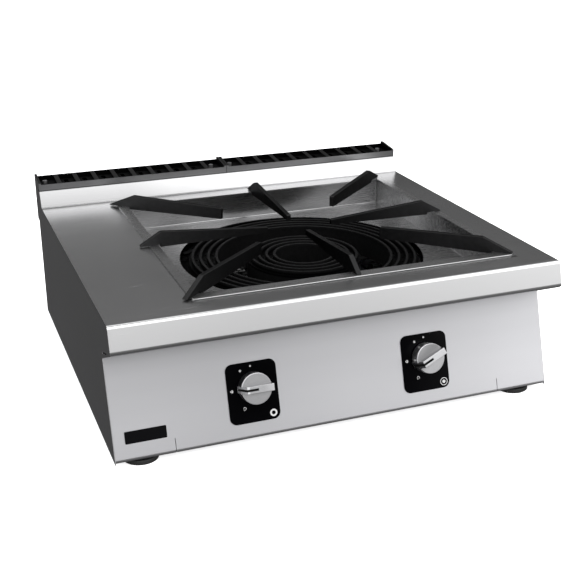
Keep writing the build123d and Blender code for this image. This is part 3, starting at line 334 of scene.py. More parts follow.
def galvanised(name, tone):
    """Zinc-coated sheet with its crystal pattern."""
    g = Graph(name, Metallic=1.0)
    at = g.coords()
    cell = g.voronoi(at, 95.0, output="Color")
    grey = g.node("SeparateColor")
    g.link(cell, grey.inputs[0])
    flake = g.math("ADD", g.math("MULTIPLY", grey.outputs[0], 0.7),
                   g.math("MULTIPLY", g.noise(at, 420.0, 4.0, 0.6), 0.5))
    g.color(g.mix(g.span(flake, 0.2, 1.0, 0.0, 1.0), tuple(c * 0.82 for c in tone),
                  tuple(min(1.0, c * 1.15) for c in tone)))
    g.roughness(g.span(flake, 0.2, 1.0, 0.38, 0.56))
    g.normal(g.bump(g.noise(at, 700.0, 3.0, 0.6), 0.08, 0.0002))
    return g.mat


# ------------------------------------------------------------------ front panel
SLOPE = math.radians(16.63)
UP_Y, UP_Z = math.sin(SLOPE), math.cos(SLOPE)
NORMAL = Vector((0, -UP_Z, UP_Y))
AXIS_Y = -342.8 + 84.0 * UP_Y
AXIS_Z = 16.8 + 84.0 * UP_Z
KNOB_X = 160.0

# ------------------------------------------------------------------ materials
BURNER = (0.0497, -0.021)


def flue_soot_and_painted_light(g):
    """Plain steel on the outer faces with a painted sheen along the front face; the duct painted almost black and the
    rib tops dim grey, sooty steel and painted shade, with a painted shadow line under the lip.
    """
    x, y, z = g.xyz(g.coords())
    front = g.span(y, FLUE_FRONT + 0.0012, FLUE_FRONT + 0.0004, 0.0, 1.0)
    nx, ny, nz = g.facing()
    back = g.math("MULTIPLY", g.span(y, 0.3632, 0.3640, 0.0, 1.0), g.span(ny, 0.3, 0.6, 0.0, 1.0))
    ends = g.math("MULTIPLY", g.span(g.math("ABSOLUTE", x), 0.3985, 0.3993, 0.0, 1.0),
                  g.span(g.math("ABSOLUTE", nx), 0.3, 0.6, 0.0, 1.0))
    # painted sheen along the front face, darkest at the left end
    front = g.math("MULTIPLY", front, g.curve(
        x, (-0.40, 0.30), (-0.30, 0.34), (-0.26, 0.56), (-0.21, 0.82), (-0.15, 1.0), (-0.02, 1.08), (0.10, 1.08),
        (0.27, 0.97), (0.34, 0.72), (0.40, 0.64)))
    outer = g.math("MAXIMUM", g.math("MAXIMUM", front, back), ends)
    # painted shadow line along the lip's lower edge
    line = g.span(z, STAND_TOP + 0.0008, STAND_TOP + 0.0016, 0.25, 1.0)
    # rib tops dim grey, dimmer to the right; all else in the duct painted almost black as shade
    flat = g.math("MULTIPLY", g.span(nz, 0.5, 0.8, 0.0, 1.0), g.span(z, 0.2965, 0.2985, 0.0, 0.08))
    flat = g.math("MULTIPLY", flat, g.span(x, -0.20, 0.40, 0.85, 0.45))
    return g.math("MAXIMUM", g.math("MULTIPLY", g.math("MULTIPLY", outer, line), 0.72), g.math("MAXIMUM", flat, 0.012))


def knob_painted_light(g):
    """Moulded knob with light and shade painted by place and face direction: painted highlights on the grip bar, at
    its bend and along the disc's upper rim, painted shade on the disc beside the bar, and painted light and shade on
    the flanks and ramps, different on the two knobs."""
    x, y, z = g.xyz(g.coords())
    nx, ny, nz = g.facing()
    right = g.span(x, -0.01, 0.01, 0.0, 1.0)
    dy, dz = g.math("SUBTRACT", y, AXIS_Y * MM), g.math("SUBTRACT", z, AXIS_Z * MM)
    out = g.math("SUBTRACT", g.math("MULTIPLY", dz, UP_Y), g.math("MULTIPLY", dy, UP_Z))
    v = g.math("ADD", g.math("MULTIPLY", dy, UP_Y), g.math("MULTIPLY", dz, UP_Z))
    u = g.math("SUBTRACT", x, g.blend(right, -KNOB_X * MM, KNOB_X * MM))
    reach = g.math("SQRT", g.math("ADD", g.math("MULTIPLY", u, u), g.math("MULTIPLY", v, v)))
    toward = g.math("SUBTRACT", g.math("MULTIPLY", nz, UP_Y), g.math("MULTIPLY", ny, UP_Z))
    crest = g.span(out, 0.0305, 0.0322, 0.0, 1.0)
    # painted highlight along the disc's upper-left rim
    rim = g.math("MULTIPLY", g.span(reach, 0.0250, 0.0255, 0.0, 0.9),
                 g.span(g.math("SUBTRACT", v, u), 0.002, 0.020, 0.0, 1.0))
    # painted shade on the left disc beside the grip bar
    bar_side_shade = g.span(g.math("ABSOLUTE", v), 0.006, 0.014, 0.80, 0.92, True)
    slant = g.math("SUBTRACT", g.math("MULTIPLY", u, 0.64), g.math("MULTIPLY", v, 0.77))
    # painted light and shade across the right disc
    part = g.curve(slant, (-0.027, 0.95), (-0.018, 0.72), (-0.008, 0.62), (0.0, 0.80), (0.008, 1.15), (0.027, 1.15))
    disc = g.math("MULTIPLY", g.blend(right, bar_side_shade, part), g.math("ADD", rim, 1.0))
    # painted highlight where the left grip bar bends down to its ramp
    kink_highlight = g.math("MULTIPLY", g.span(u, -0.0215, -0.0195, 0.0, 1.0), g.span(u, -0.0155, -0.0135, 1.0, 0.0))
    bar = g.blend(right, g.blend(kink_highlight, g.span(u, 0.010, 0.027, 1.15, 1.5), 2.1), 1.6)
    flat = g.blend(crest, disc, bar)
    ramp = g.math("MULTIPLY", g.span(toward, 0.20, 0.26, 0.0, 1.0), g.span(toward, 0.45, 0.55, 1.0, 0.0))
    # painted shade on the skirt and painted light on the right knob's flanks; the left ramp painted light, the right
    # ramp painted shade
    skirt = g.math("MULTIPLY", g.span(reach, 0.0258, 0.0262, 0.0, 1.0), g.span(out, 0.0252, 0.0246, 0.0, 1.0))
    flank = g.blend(skirt, 0.5, g.blend(right, 1.1, 2.2))
    flank = g.blend(ramp, flank, g.blend(right, 2.2, 0.5))
    return g.blend(g.span(toward, 0.80, 0.92, 0.0, 1.0), flank, flat)


def bezel_painted_sheen(g):
    # painted sheen: the shine rises towards the right bezel's right edge, the left bezel almost without shine
    x, y, z = g.xyz(g.coords())
    return g.math("MAXIMUM", g.span(x, 0.115, 0.200, 0.004, 0.060), 0.004)


def arm_painted_light(g):
    """Painted light by face direction: sloped faces of the feet lighter, flat tops darker, flanks lighter where they
    face front and left; flanks darker towards the burner, sooty and painted shade, and painted shade on those
    front-right of it.
    """
    nx, ny, nz = g.facing()
    flank = g.math("SUBTRACT", g.math("MULTIPLY", nx, -0.36), g.math("MULTIPLY", ny, 0.60), True)
    flank = g.math("MULTIPLY", flank, g.span(g.math("ABSOLUTE", nx), 0.80, 0.95, 1.0, 0.35))
    flank = g.math("MAXIMUM", flank, 0.10)
    x, y, z = g.xyz(g.coords())
    dx, dy = g.math("SUBTRACT", x, BURNER[0]), g.math("SUBTRACT", y, BURNER[1])
    reach = g.math("SQRT", g.math("ADD", g.math("MULTIPLY", dx, dx), g.math("MULTIPLY", dy, dy)))
    # flanks darker towards the burner: sooty and painted shade
    soot_and_shade = g.curve(reach, (0.04, 0.42), (0.10, 0.55), (0.17, 0.84), (0.23, 1.12), (0.30, 1.30), (0.45, 1.30))
    # painted shade on the flanks front-right of the burner
    corner = g.math("MULTIPLY", g.span(x, 0.08, 0.12, 0.0, 0.36), g.span(y, -0.04, -0.08, 0.0, 1.0))
    flank = g.math("MULTIPLY", flank, g.math("MULTIPLY", soot_and_shade, g.math("SUBTRACT", 1.0, corner)))
    # flat tops painted darker than the sloped feet
    top = g.span(nz, 0.94, 0.99, 0.80, 0.36, True)
    return g.blend(g.span(nz, 0.25, 0.65, 0.0, 1.0, True), flank, top)


def well_floor_painted_shade(g):
    """Painted shade on the well's floor, with a band of painted shade on its left part, and the collar below the floor
    painted almost black as shade.
    """
    x, y, z = g.xyz(g.coords())
    floor_shade = g.math("ADD", g.math("MULTIPLY", well_painted_shade(g), 0.45), 0.55)
    floor_shade = g.math("MULTIPLY", floor_shade, g.blend(g.span(x, -0.150, -0.180, 0.0, 1.0), 1.0, g.curve(
        y, (-0.20, 1.0), (-0.04, 0.95), (0.03, 0.80), (0.08, 0.66), (0.14, 0.85), (0.24, 1.1))))
    return g.math("MULTIPLY", floor_shade, g.span(z, 0.2035, 0.2045, 0.03, 1.0))


def frame_tint(g):
    """Well frame: a shadow line at the foot of the flange's edge, and corners
    that catch less light than the walls."""
    x, y, z = g.xyz(g.coords())
    nx, ny, nz = g.facing()
    rim = g.math("MULTIPLY", g.span(z, 0.2578, 0.2584, 1.0, 0.0), g.span(y, -0.2990, -0.3000, 0.0, 1.0))
    # painted shade on the flange's outer sides at the left and the rear
    side = g.math("MAXIMUM", g.span(x, -0.2515, -0.2528, 0.0, 1.0), g.span(y, 0.2590, 0.2600, 0.0, 1.0))
    side = g.math("MULTIPLY", side, g.span(nz, 0.85, 0.55, 0.0, 0.60))
    side = g.math("MULTIPLY", side, g.span(y, -0.2990, -0.2980, 0.0, 1.0))
    rim = g.math("MAXIMUM", rim, side)
    # painted sheen along the left flange's top, lighter towards the rear, dark at its rear end
    strip = g.math("MULTIPLY", g.span(x, -0.2365, -0.2375, 0.0, 1.0), g.span(z, 0.2580, 0.2585, 0.0, 1.0))
    strip = g.blend(strip, 1.0, g.curve(y, (-0.30, 0.94), (-0.20, 0.97), (-0.10, 1.08), (0.02, 1.08), (0.09, 1.12),
                                        (0.14, 1.20), (0.19, 1.36), (0.235, 1.40), (0.262, 0.45)))
    corner = g.math("MULTIPLY", g.math("ABSOLUTE", g.math("MULTIPLY", nx, ny)), 1.5, True)
    out = g.math("MULTIPLY", g.math("SUBTRACT", 1.0, g.math("MULTIPLY", rim, 0.75)),
                 g.math("SUBTRACT", 1.0, g.math("MULTIPLY", corner, 0.8)))
    # painted light and shade along the right wall below the rim
    wall = g.math("MULTIPLY", g.span(nx, -0.5, -0.8, 0.0, 1.0), g.span(x, 0.310, 0.320, 0.0, 1.0))
    wall = g.math("MULTIPLY", wall, g.span(z, 0.2585, 0.2570, 0.0, 1.0))
    along = g.curve(y, (-0.31, 0.78), (-0.20, 0.90), (-0.11, 0.90), (-0.04, 0.64), (0.0, 0.75), (0.06, 1.25),
                    (0.11, 1.15), (0.15, 1.0), (0.20, 1.25), (0.26, 1.2))
    out = g.math("MULTIPLY", g.math("MULTIPLY", out, strip), g.blend(wall, 1.0, along))
    return g.math("MULTIPLY", out, well_painted_shade(g))


def worktop_painted_light(g):
    """Painted light on the worktop: sheen along the apron, the top and the upstand; painted shadow under the flue's
    lip, in the upstand's crease, along the foot of the flange's front edge and under the left arm's tip; what lies
    behind the upstand painted almost black as shade.
    """
    x, y, z = g.xyz(g.coords())
    apron = g.curve(x, (-0.40, 1.16), (-0.30, 1.10), (-0.20, 1.03), (-0.05, 1.0), (0.10, 1.03), (0.25, 1.08), (0.40, 1.15))
    # painted sheen along the upstand, darker down its face on the left, with a painted shadow under the flue's lip
    stand = g.curve(x, (-0.40, 0.61), (-0.26, 0.64), (-0.20, 0.67), (-0.12, 0.80), (0.10, 0.88), (0.40, 0.80))
    fall = g.blend(g.span(x, -0.10, 0.05, 0.0, 1.0), g.span(z, 0.2890, 0.2600, 1.03, 0.84), 1.0)
    stand = g.math("MULTIPLY", g.math("MULTIPLY", stand, fall), g.span(z, 0.2880, 0.2886, 1.0, 0.30))
    # painted shade in the upstand's crease
    crease = g.math("MULTIPLY", g.span(z, 0.2630, 0.2595, 0.0, 1.0), g.span(y, 0.2870, 0.2890, 0.0, 1.0))
    crease = g.math("MULTIPLY", crease, g.span(x, 0.15, -0.05, 0.0, 0.20))
    # painted sheen across the front of the top and along its left and right parts
    front = g.curve(x, (-0.40, 1.50), (-0.33, 1.20), (-0.26, 0.93), (-0.14, 0.87), (0.0, 0.85), (0.10, 0.88),
                    (0.17, 1.0), (0.23, 1.17), (0.28, 1.20), (0.34, 1.02), (0.40, 1.02))
    left = g.curve(y, (-0.36, 1.18), (-0.20, 1.18), (-0.10, 1.24), (0.0, 1.34), (0.08, 1.42), (0.14, 1.36),
                   (0.20, 1.05), (0.24, 1.20), (0.27, 1.70), (0.30, 2.0))
    right = g.curve(y, (-0.36, 1.0), (0.08, 0.96), (0.16, 0.90), (0.23, 0.80), (0.30, 1.0))
    top = g.blend(g.span(y, -0.29, -0.25, 0.0, 1.0), front, 1.0)
    top = g.blend(g.span(x, -0.22, -0.25, 0.0, 1.0), top, g.math("MULTIPLY", left, g.span(y, -0.30, -0.26, 1.0, 1.0)))
    top = g.blend(g.span(x, 0.33, 0.35, 0.0, 1.0), top, right)
    # painted shadow along the foot of the flange's front edge
    flange_foot_shadow = g.math("MULTIPLY", g.span(y, -0.3085, -0.3065, 0.0, 0.62), g.span(y, -0.3012, -0.3008, 1.0, 0.0))
    flange_foot_shadow = g.math("MULTIPLY", flange_foot_shadow, g.math("MULTIPLY", g.span(x, -0.2560, -0.2530, 0.0, 1.0), g.span(x, 0.3420, 0.3450, 1.0, 0.0)))
    top = g.math("MULTIPLY", top, g.math("SUBTRACT", 1.0, flange_foot_shadow))
    # painted shadow of the left arm's tip on the top
    arm_tip_shadow = g.math("MULTIPLY", g.span(x, -0.268, -0.261, 0.0, 0.62), g.span(x, -0.2530, -0.2520, 1.0, 0.0))
    arm_tip_shadow = g.math("MULTIPLY", arm_tip_shadow, g.math("MULTIPLY", g.span(y, 0.225, 0.242, 0.0, 1.0), g.span(y, 0.270, 0.282, 1.0, 0.0)))
    top = g.math("MULTIPLY", top, g.math("SUBTRACT", 1.0, arm_tip_shadow))
    out = g.blend(g.span(y, -0.338, -0.346, 0.0, 1.0), top, apron)
    out = g.blend(g.span(y, 0.2905, 0.2925, 0.0, 1.0), out, stand)
    out = g.math("MULTIPLY", out, g.math("SUBTRACT", 1.0, crease))
    nx, ny, nz = g.facing()
    # what lies behind the upstand is painted almost black as shade, save faces to the rear
    back = g.math("MULTIPLY", g.span(y, 0.355, 0.360, 0.0, 1.0), g.span(ny, 0.3, 0.6, 0.0, 1.0))
    return g.blend(g.span(y, 0.3062, 0.3068, 0.0, 1.0), out, g.blend(back, 0.03, 1.0))


def dull_back(g):
    """The faces that look to the rear are dull with dust."""
    x, y, z = g.xyz(g.coords())
    nx, ny, nz = g.facing()
    return g.math("SUBTRACT", 1.0, g.math("MULTIPLY", g.span(y, 0.355, 0.360, 0.0, 0.45), g.span(ny, 0.3, 0.6, 0.0, 1.0)))


def rear_tint(g):
    """The inner face of the rear panel sits in the dark of the case."""
    nx, ny, nz = g.facing()
    return g.span(ny, -0.6, -0.2, 0.03, 1.0)


def pilot_painted_shade(g):
    # painted shade: the pilots' sides and fillets are painted almost black, their flat tops keep their tone
    nx, ny, nz = g.facing()
    return g.span(nz, 0.90, 0.98, 0.03, 1.0)


def front_tint(g):
    """The front panel is shaded under the hem and brightens to the right."""
    x, y, z = g.xyz(g.coords())
    along = g.curve(x, (-0.40, 0.88), (-0.30, 0.84), (-0.20, 0.80), (-0.10, 0.83), (0.0, 0.87), (0.10, 0.90),
                    (0.20, 0.95), (0.30, 1.03), (0.40, 1.10))
    down = g.curve(z, (0.016, 1.19), (0.052, 1.16), (0.084, 1.09), (0.116, 1.0), (0.148, 0.92), (0.166, 0.83),
                   (0.176, 0.74), (0.184, 0.66))
    return g.math("MULTIPLY", along, down)


def well_painted_shade(g):
    """Painted shade on the well below its rim, towards the rear and towards the left, most at the rear."""
    x, y, z = g.xyz(g.coords())
    rear = g.math("MULTIPLY", g.span(y, 0.150, 0.2425, 0.0, 1.0, True), g.span(z, 0.2585, 0.2555, 0.0, 1.0))
    left = g.math("MULTIPLY", g.span(x, -0.120, -0.2365, 0.0, 1.0, True), g.span(z, 0.2585, 0.2555, 0.0, 1.0))
    low = g.math("MAXIMUM", g.math("MULTIPLY", rear, 0.45), g.math("MULTIPLY", left, 0.35))
    return g.math("SUBTRACT", 1.0, low)


FLUE_FRONT = 0.3053
STAND_TOP = 0.2894
MATS = {
    "worktop_steel": brushed("worktop_steel", (0.60, 0.60, 0.605), 0.25, (0.5, 1, 1), tint=worktop_painted_light, metal=dull_back),
    "case_steel": brushed("case_steel", (0.64, 0.64, 0.66), 0.36, (0.5, 1, 1)),
    "front_steel": brushed("front_steel", (0.64, 0.64, 0.66), 0.36, (0.5, 1, 1), tint=front_tint),
    "rear_steel": brushed("rear_steel", (0.60, 0.60, 0.62), 0.36, (0.5, 1, 1), tint=rear_tint, metal=0.55),
    # the left side panel: a darker copy of the case steel, its tone lowered as painted shade
    "side_steel": brushed("side_steel", (0.46, 0.46, 0.47), 0.38, (1, 1, 0.5)),
    "right_side_steel": brushed("right_side_steel", (0.56, 0.56, 0.57), 0.38, (1, 1, 0.5), metal=0.62),
    "well_steel": brushed("well_steel", (0.56, 0.56, 0.565), 0.27, (0.5, 1, 1), depth=0.002, cloud=0.004, tint=well_painted_shade),
    "well_floor_steel": brushed("well_floor_steel", (0.56, 0.56, 0.565), 0.27, (0.5, 1, 1), depth=0.002, cloud=0.004, tint=well_floor_painted_shade),
    "well_frame_steel": brushed("well_frame_steel", (0.56, 0.56, 0.565), 0.27, (0.5, 1, 1), depth=0.002, cloud=0.004, tint=frame_tint),
    "flue_steel": brushed("flue_steel", (0.62, 0.62, 0.63), 0.36, (0.5, 1, 1), tint=flue_soot_and_painted_light, metal=dull_back),
    "inner_steel": galvanised("inner_steel", (0.52, 0.53, 0.54)),
    "soot_steel": cast_iron("soot_steel", (0.006, 0.006, 0.006), 0.62, 500.0, shine=0.10),
    "arm_iron": cast_iron("arm_iron", (0.0105, 0.0105, 0.011), 0.50, 800.0,
                          wear=(0.05, 0.05, 0.052), shine=0.26, faces=arm_painted_light),
    "burner_iron": cast_iron("burner_iron", (0.0026, 0.0026, 0.0027), 0.62, 700.0, shine=0.08),
    "crown_iron": cast_iron("crown_iron", (0.0050, 0.0050, 0.0052), 0.52, 700.0,
                            top=(0.2005, 0.2066, 0.1675, (0.0005, 0.0005, 0.0006)), shine=0.10),
    "inner_crown_iron": cast_iron("inner_crown_iron", (0.0050, 0.0050, 0.0052), 0.52, 700.0,
                                  top=(0.2005, 0.2066, 0.0560, (0.0005, 0.0005, 0.0006)), shine=0.10),
    "baffle_black": paint("baffle_black", (0.0015, 0.0015, 0.0016), 0.65, shine=0.05),
    "screw_steel": turned("screw_steel", (0.72, 0.72, 0.73), 0.30),
    "tube_iron": cast_iron("tube_iron", (0.075, 0.076, 0.08), 0.55, 600.0),
    "brass": turned("brass", (0.72, 0.52, 0.22), 0.28, 1500.0),
    "pipe_aluminium": turned("pipe_aluminium", (0.74, 0.75, 0.77), 0.34, 900.0),
    "knob_silver": turned("knob_silver", (0.45, 0.45, 0.46), 0.30, 2400.0, 0.04, 0.03, tint=knob_painted_light),
    "bezel_black": paint("bezel_black", (0.0011, 0.0011, 0.0014), 0.20, peel=260.0, depth=0.02, shine=bezel_painted_sheen),
    "plate_black": paint("plate_black", (0.0024, 0.0024, 0.0028), 0.30, peel=500.0, shine=0.03),
    "spindle_steel": turned("spindle_steel", (0.60, 0.60, 0.61), 0.28),
    "spring_steel": turned("spring_steel", (0.42, 0.42, 0.43), 0.34),
    "pilot_steel": turned("pilot_steel", (0.14, 0.14, 0.14), 0.60, 300.0, 0.004, tint=pilot_painted_shade),
    "ceramic": paint("ceramic", (0.30, 0.295, 0.28), 0.35, peel=300.0),
    "foot_black": paint("foot_black", (0.010, 0.010, 0.010), 0.62, peel=1200.0, depth=0.15),
    "print_white": paint("print_white", (0.44, 0.44, 0.44), 0.45, peel=1800.0, shine=0.3),
    "print_black": paint("print_black", (0.003, 0.003, 0.003), 0.45, peel=1800.0, shine=0.1),
}

SLOT_OF = {s["node"]: s["material_slot"] for s in frame["record"]["subparts"]}
OWN = {
    "front_panel": "front_steel",
    "left_side_panel": "side_steel",
    "right_side_panel": "right_side_steel",
    "flue_trim_left": "flue_steel",
    "flue_trim_right": "flue_steel",
    "outer_burner_crown": "crown_iron",
    "inner_burner_crown": "inner_crown_iron",
    "burner_bridges": "soot_steel",
    "well_floor": "well_floor_steel",
    "rear_panel": "rear_steel",
    "spark_electrodes": "soot_steel",
    "well_frame": "well_frame_steel",
    "thermocouples": "soot_steel",
}
for name, obj in nodes.items():
    mat = MATS[OWN.get(name, SLOT_OF[name])]
    for i in range(len(obj.material_slots)):
        obj.material_slots[i].material = mat
    if not obj.material_slots:
        obj.data.materials.append(mat)

# ------------------------------------------------------------------ piece helpers


def on_panel(x, u, v, out, turn=0.0):
    """A point on a control: u right, v up the slope, turned anticlockwise."""
    a = math.radians(turn)
    ex = Vector((math.cos(a), math.sin(a) * UP_Y, math.sin(a) * UP_Z))
    ey = NORMAL.cross(ex)
    return (Vector((x, AXIS_Y, AXIS_Z)) + ex * u + ey * v + NORMAL * out) * MM


def piece(name, verts, faces, material, body, smooth=False):
    """A mesh piece, its normals made to face out, riding on a body."""
    mesh = bpy.data.meshes.new(name)
    mesh.from_pydata([tuple(v) for v in verts], [], faces)
    bm = bmesh.new()
    bm.from_mesh(mesh)
    bmesh.ops.remove_doubles(bm, verts=bm.verts, dist=1e-7)
    bmesh.ops.recalc_face_normals(bm, faces=bm.faces)
    bm.to_mesh(mesh)
    bm.free()
    mesh.materials.append(MATS[material])
    obj = bpy.data.objects.new(name, mesh)
    bpy.context.scene.collection.objects.link(obj)
    for p in mesh.polygons:
        p.use_smooth = smooth
    if smooth:
        mesh.set_sharp_from_angle(angle=math.radians(35))
    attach(obj, body)
    return obj


class Soup:
    """Vertices and faces of several closed shells."""

    def __init__(self):
        self.verts, self.faces = [], []

    def prism(self, low, high):
        """A closed prism between two matching loops of points."""
        n, at = len(low), len(self.verts)
        self.verts += list(low) + list(high)
        self.faces.append(tuple(at + i for i in reversed(range(n))))
        self.faces.append(tuple(at + n + i for i in range(n)))
        for i in range(n):
            j = (i + 1) % n
            self.faces.append((at + i, at + j, at + n + j, at + n + i))

    def band(self, outer_low, inner_low, outer_high, inner_high):
        """A closed flat ring between an outer and an inner loop."""
        n, at = len(outer_low), len(self.verts)
        self.verts += list(outer_low) + list(inner_low) + list(outer_high) + list(inner_high)
        ol, il, oh, ih = at, at + n, at + 2 * n, at + 3 * n
        for i in range(n):
            j = (i + 1) % n
            self.faces += [
                (oh + i, oh + j, ih + j, ih + i), (ol + j, ol + i, il + i, il + j),
                (ol + i, ol + j, oh + j, oh + i), (il + j, il + i, ih + i, ih + j),
            ]


def circle(cx, cy, r, n=40):
    return [(cx + r * math.cos(2 * math.pi * i / n), cy + r * math.sin(2 * math.pi * i / n)) for i in range(n)]


# ------------------------------------------------------------------ bezel marks
def flame(cx, cy, size, towards):
    """Outline of a small drop-shaped flame whose tip points `towards` (deg)."""
    pts = []
    n = 36
    for i in range(n):
        t = 2 * math.pi * i / n
        # drop: round at the back, a point in front with a slight waist
        x = math.cos(t)
        y = math.sin(t) * (0.62 * math.sin(t / 2) ** 1.35)
        pts.append((x * 0.62 + 0.06, y * 1.18))
    a = math.radians(towards)
    return [
        (cx + size * (px * math.cos(a) - py * math.sin(a)), cy + size * (px * math.sin(a) + py * math.cos(a)))
        for px, py in pts
    ]


def shrink(loop, k):
    mx = sum(p[0] for p in loop) / len(loop)
    my = sum(p[1] for p in loop) / len(loop)
    return [(mx + (x - mx) * k, my + (y - my) * k) for x, y in loop]


def marks(side, x):
    x += {"left": -1.4, "right": -0.4}[side]
    low, high = 2.02, 2.16
    s = Soup()

    def flat(loop):
        s.prism([on_panel(x, u, v, low) for u, v in loop], [on_panel(x, u, v, high) for u, v in loop])

    def ring(cx, cy, ro, ri):
        o, i = circle(cx, cy, ro), circle(cx, cy, ri)
        s.band(*[[on_panel(x, u, v, h) for u, v in loop] for h in (low, high) for loop in (o, i)])

    flat(circle(0.8, 35.0, 1.55, 24))
    # spark: a short-armed star
    star = []
    for i in range(16):
        r = 2.7 if i % 2 == 0 else 1.25
        a = math.pi * i / 8 + 0.2
        star.append((-17.4 + r * math.cos(a), 29.3 + r * math.sin(a)))
    flat(star)
    for drop, k in ((flame(-35.2, -2.8, 4.7, 178), 0.42), (flame(-16.0, -34.9, 4.9, 245), 0.74)):
        inner = shrink(drop, k)
        s.band(*[[on_panel(x, u, v, h) for u, v in loop] for h in (low, high) for loop in (drop, inner)])
    if side == "left":
        ring(33.3, -49.1, 6.3, 3.4)
    else:
        ring(33.3, -49.1, 7.1, 6.0)
        flat(circle(33.3, -49.1, 3.0, 32))
    return piece(f"{side}_bezel_marks", s.verts, s.faces, "print_white", "stove_case")


marks("left", -KNOB_X)
marks("right", KNOB_X)


# ------------------------------------------------------------------ knob pointers
def pointer(side, x, turn):
    """Inlaid line from the middle of the grip bar down its ramp."""
    ramp_dy, ramp_dz = 27.8 - 19.0, 7.5 - 33.0
    length = math.hypot(ramp_dy, ramp_dz)
    uy, uz = ramp_dy / length, ramp_dz / length
    ny, nz = -uz, uy
    lift, sink = 0.16, -0.25
    path = [(-1.0, 33.0, 0.0, 1.0), (18.5, 33.0, 0.0, 1.0)]
    # round the corner between the top and the ramp
    corner = math.atan2(nz, ny)
    for i in range(1, 6):
        a = math.pi / 2 + (corner - math.pi / 2) * i / 6
        path.append((18.55 + 0.4 * math.cos(a), 32.6 + 0.4 * math.sin(a), math.cos(a), math.sin(a)))
    for t in (0.6, length - 1.2):
        path.append((19 + uy * t, 33 + uz * t, ny, nz))
    half = 2.0
    sections = []
    for y, z, oy, oz in path:
        sections.append([
            on_panel(x, -half, y + oy * sink, z + oz * sink, turn),
            on_panel(x, half, y + oy * sink, z + oz * sink, turn),
            on_panel(x, half, y + oy * lift, z + oz * lift, turn),
            on_panel(x, half * 0.8, y + oy * (lift + 0.04), z + oz * (lift + 0.04), turn),
            on_panel(x, -half * 0.7, y + oy * (lift + 0.04), z + oz * (lift + 0.04), turn),
            on_panel(x, -half, y + oy * lift, z + oz * lift, turn),
        ])
    verts, faces = [], []
    for sec in sections:
        verts += sec
    n = 6
    for k in range(len(sections) - 1):
        for i in range(n):
            j = (i + 1) % n
            faces.append((k * n + i, k * n + j, (k + 1) * n + j, (k + 1) * n + i))
    faces.append(tuple(reversed(range(n))))
    faces.append(tuple((len(sections) - 1) * n + i for i in range(n)))
    return piece(f"{side}_knob_pointer", verts, faces, "print_black", f"{side}_control")


pointer("left", -KNOB_X, 90.0)
pointer("right", KNOB_X, 114.0)

# ------------------------------------------------------------------ well bead
WELL_X0, WELL_X1, WELL_Y0, WELL_Y1 = -236.3, 328.5, -278.3, 242.2
WELL_FLOOR = 205.5


def well_bead():
    """Hollow corner fillet along the foot of the well's four walls."""
    r, n = 2.2, 8
    s = Soup()
    eps = 0.03
    x0, x1, y0, y1 = WELL_X0 + 3.2, WELL_X1 - 3.2, WELL_Y0 + 3.2, WELL_Y1 - 3.2
    runs = [
        ((x0, WELL_Y1 - eps), (x1, WELL_Y1 - eps), (0, -1)),
        ((x1, WELL_Y0 + eps), (x0, WELL_Y0 + eps), (0, 1)),
        ((WELL_X0 + eps, y0), (WELL_X0 + eps, y1), (1, 0)),
        ((WELL_X1 - eps, y1), (WELL_X1 - eps, y0), (-1, 0)),
    ]
    z0 = WELL_FLOOR - GAUGE_GAP
    for a, b, inward in runs:
        loops = []
        for px, py in (a, b):
            loop = [Vector((px, py, z0))]
            for i in range(n + 1):
                t = math.pi / 2 * i / n
                d = r * (1 - math.cos(t))
                h = r * (1 - math.sin(t))
                loop.append(Vector((px + inward[0] * d, py + inward[1] * d, z0 + h)))
            loops.append([v * MM for v in loop])
        s.prism(loops[0], loops[1])
    return piece("well_seam_beads", s.verts, s.faces, "well_steel", "stove_case", smooth=True)


GAUGE_GAP = -0.03
well_bead()

# ------------------------------------------------------------------ louvre hoods
def louvre_hoods():
    """Pressed hoods over the air slots in the rear panel, open below."""
    s = Soup()
    wall, reach, skin = 349.02, 6.4, 0.9
    section = [
        (wall, 5.6), (wall + reach, -0.8), (wall + reach, -6.2), (wall + reach - skin, -6.2),
        (wall + reach - skin, -0.4), (wall, 4.5),
    ]
    cheek = [(wall, 5.6), (wall + reach, -0.8), (wall + reach, -6.2), (wall, -6.2)]
    for i in range(4):
        for j in range(5):
            x, z = 49.7 + 120.0 * (i - 1.5), 120.0 + 16.0 * (j - 2)
            low = [Vector((x - 46.5, y, z + h)) * MM for y, h in section]
            high = [Vector((x + 46.5, y, z + h)) * MM for y, h in section]
            s.prism(low, high)
            for a, b in ((-47.4, -46.52), (46.52, 47.4)):
                s.prism([Vector((x + a, y, z + h)) * MM for y, h in cheek],
                        [Vector((x + b, y, z + h)) * MM for y, h in cheek])
    return piece("rear_louvre_hoods", s.verts, s.faces, "rear_steel", "stove_case")


louvre_hoods()


def spring_coil(side):
    """The valve's return spring as a mesh of its own, in place of the CAD part; the knob's 3 mm of travel shortens the
    real spring.
    """
    src = nodes[side + "_valve_spring"]
    verts = [src.matrix_world @ v.co for v in src.data.vertices]
    faces = [tuple(p.vertices) for p in src.data.polygons]
    obj = piece(side + "_spring_coil", verts, faces, "spring_steel", "stove_case", True)
    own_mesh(obj)
    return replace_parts(obj, side + "_valve_spring")


spring_coil("left")
spring_coil("right")

# ------------------------------------------------------------------ stage and light
scene = bpy.context.scene


def white_floor():
    g = Graph("floor", Metallic=0.0, Roughness=0.9)
    at = g.coords()
    g.color(g.mix(g.noise(at, 3.0, 2.0, 0.5), (0.90, 0.90, 0.90), (0.93, 0.93, 0.93)))
    g.shader.inputs["Emission Color"].default_value = (1, 1, 1, 1)
    g.shader.inputs["Emission Strength"].default_value = 0.70
    return g.mat


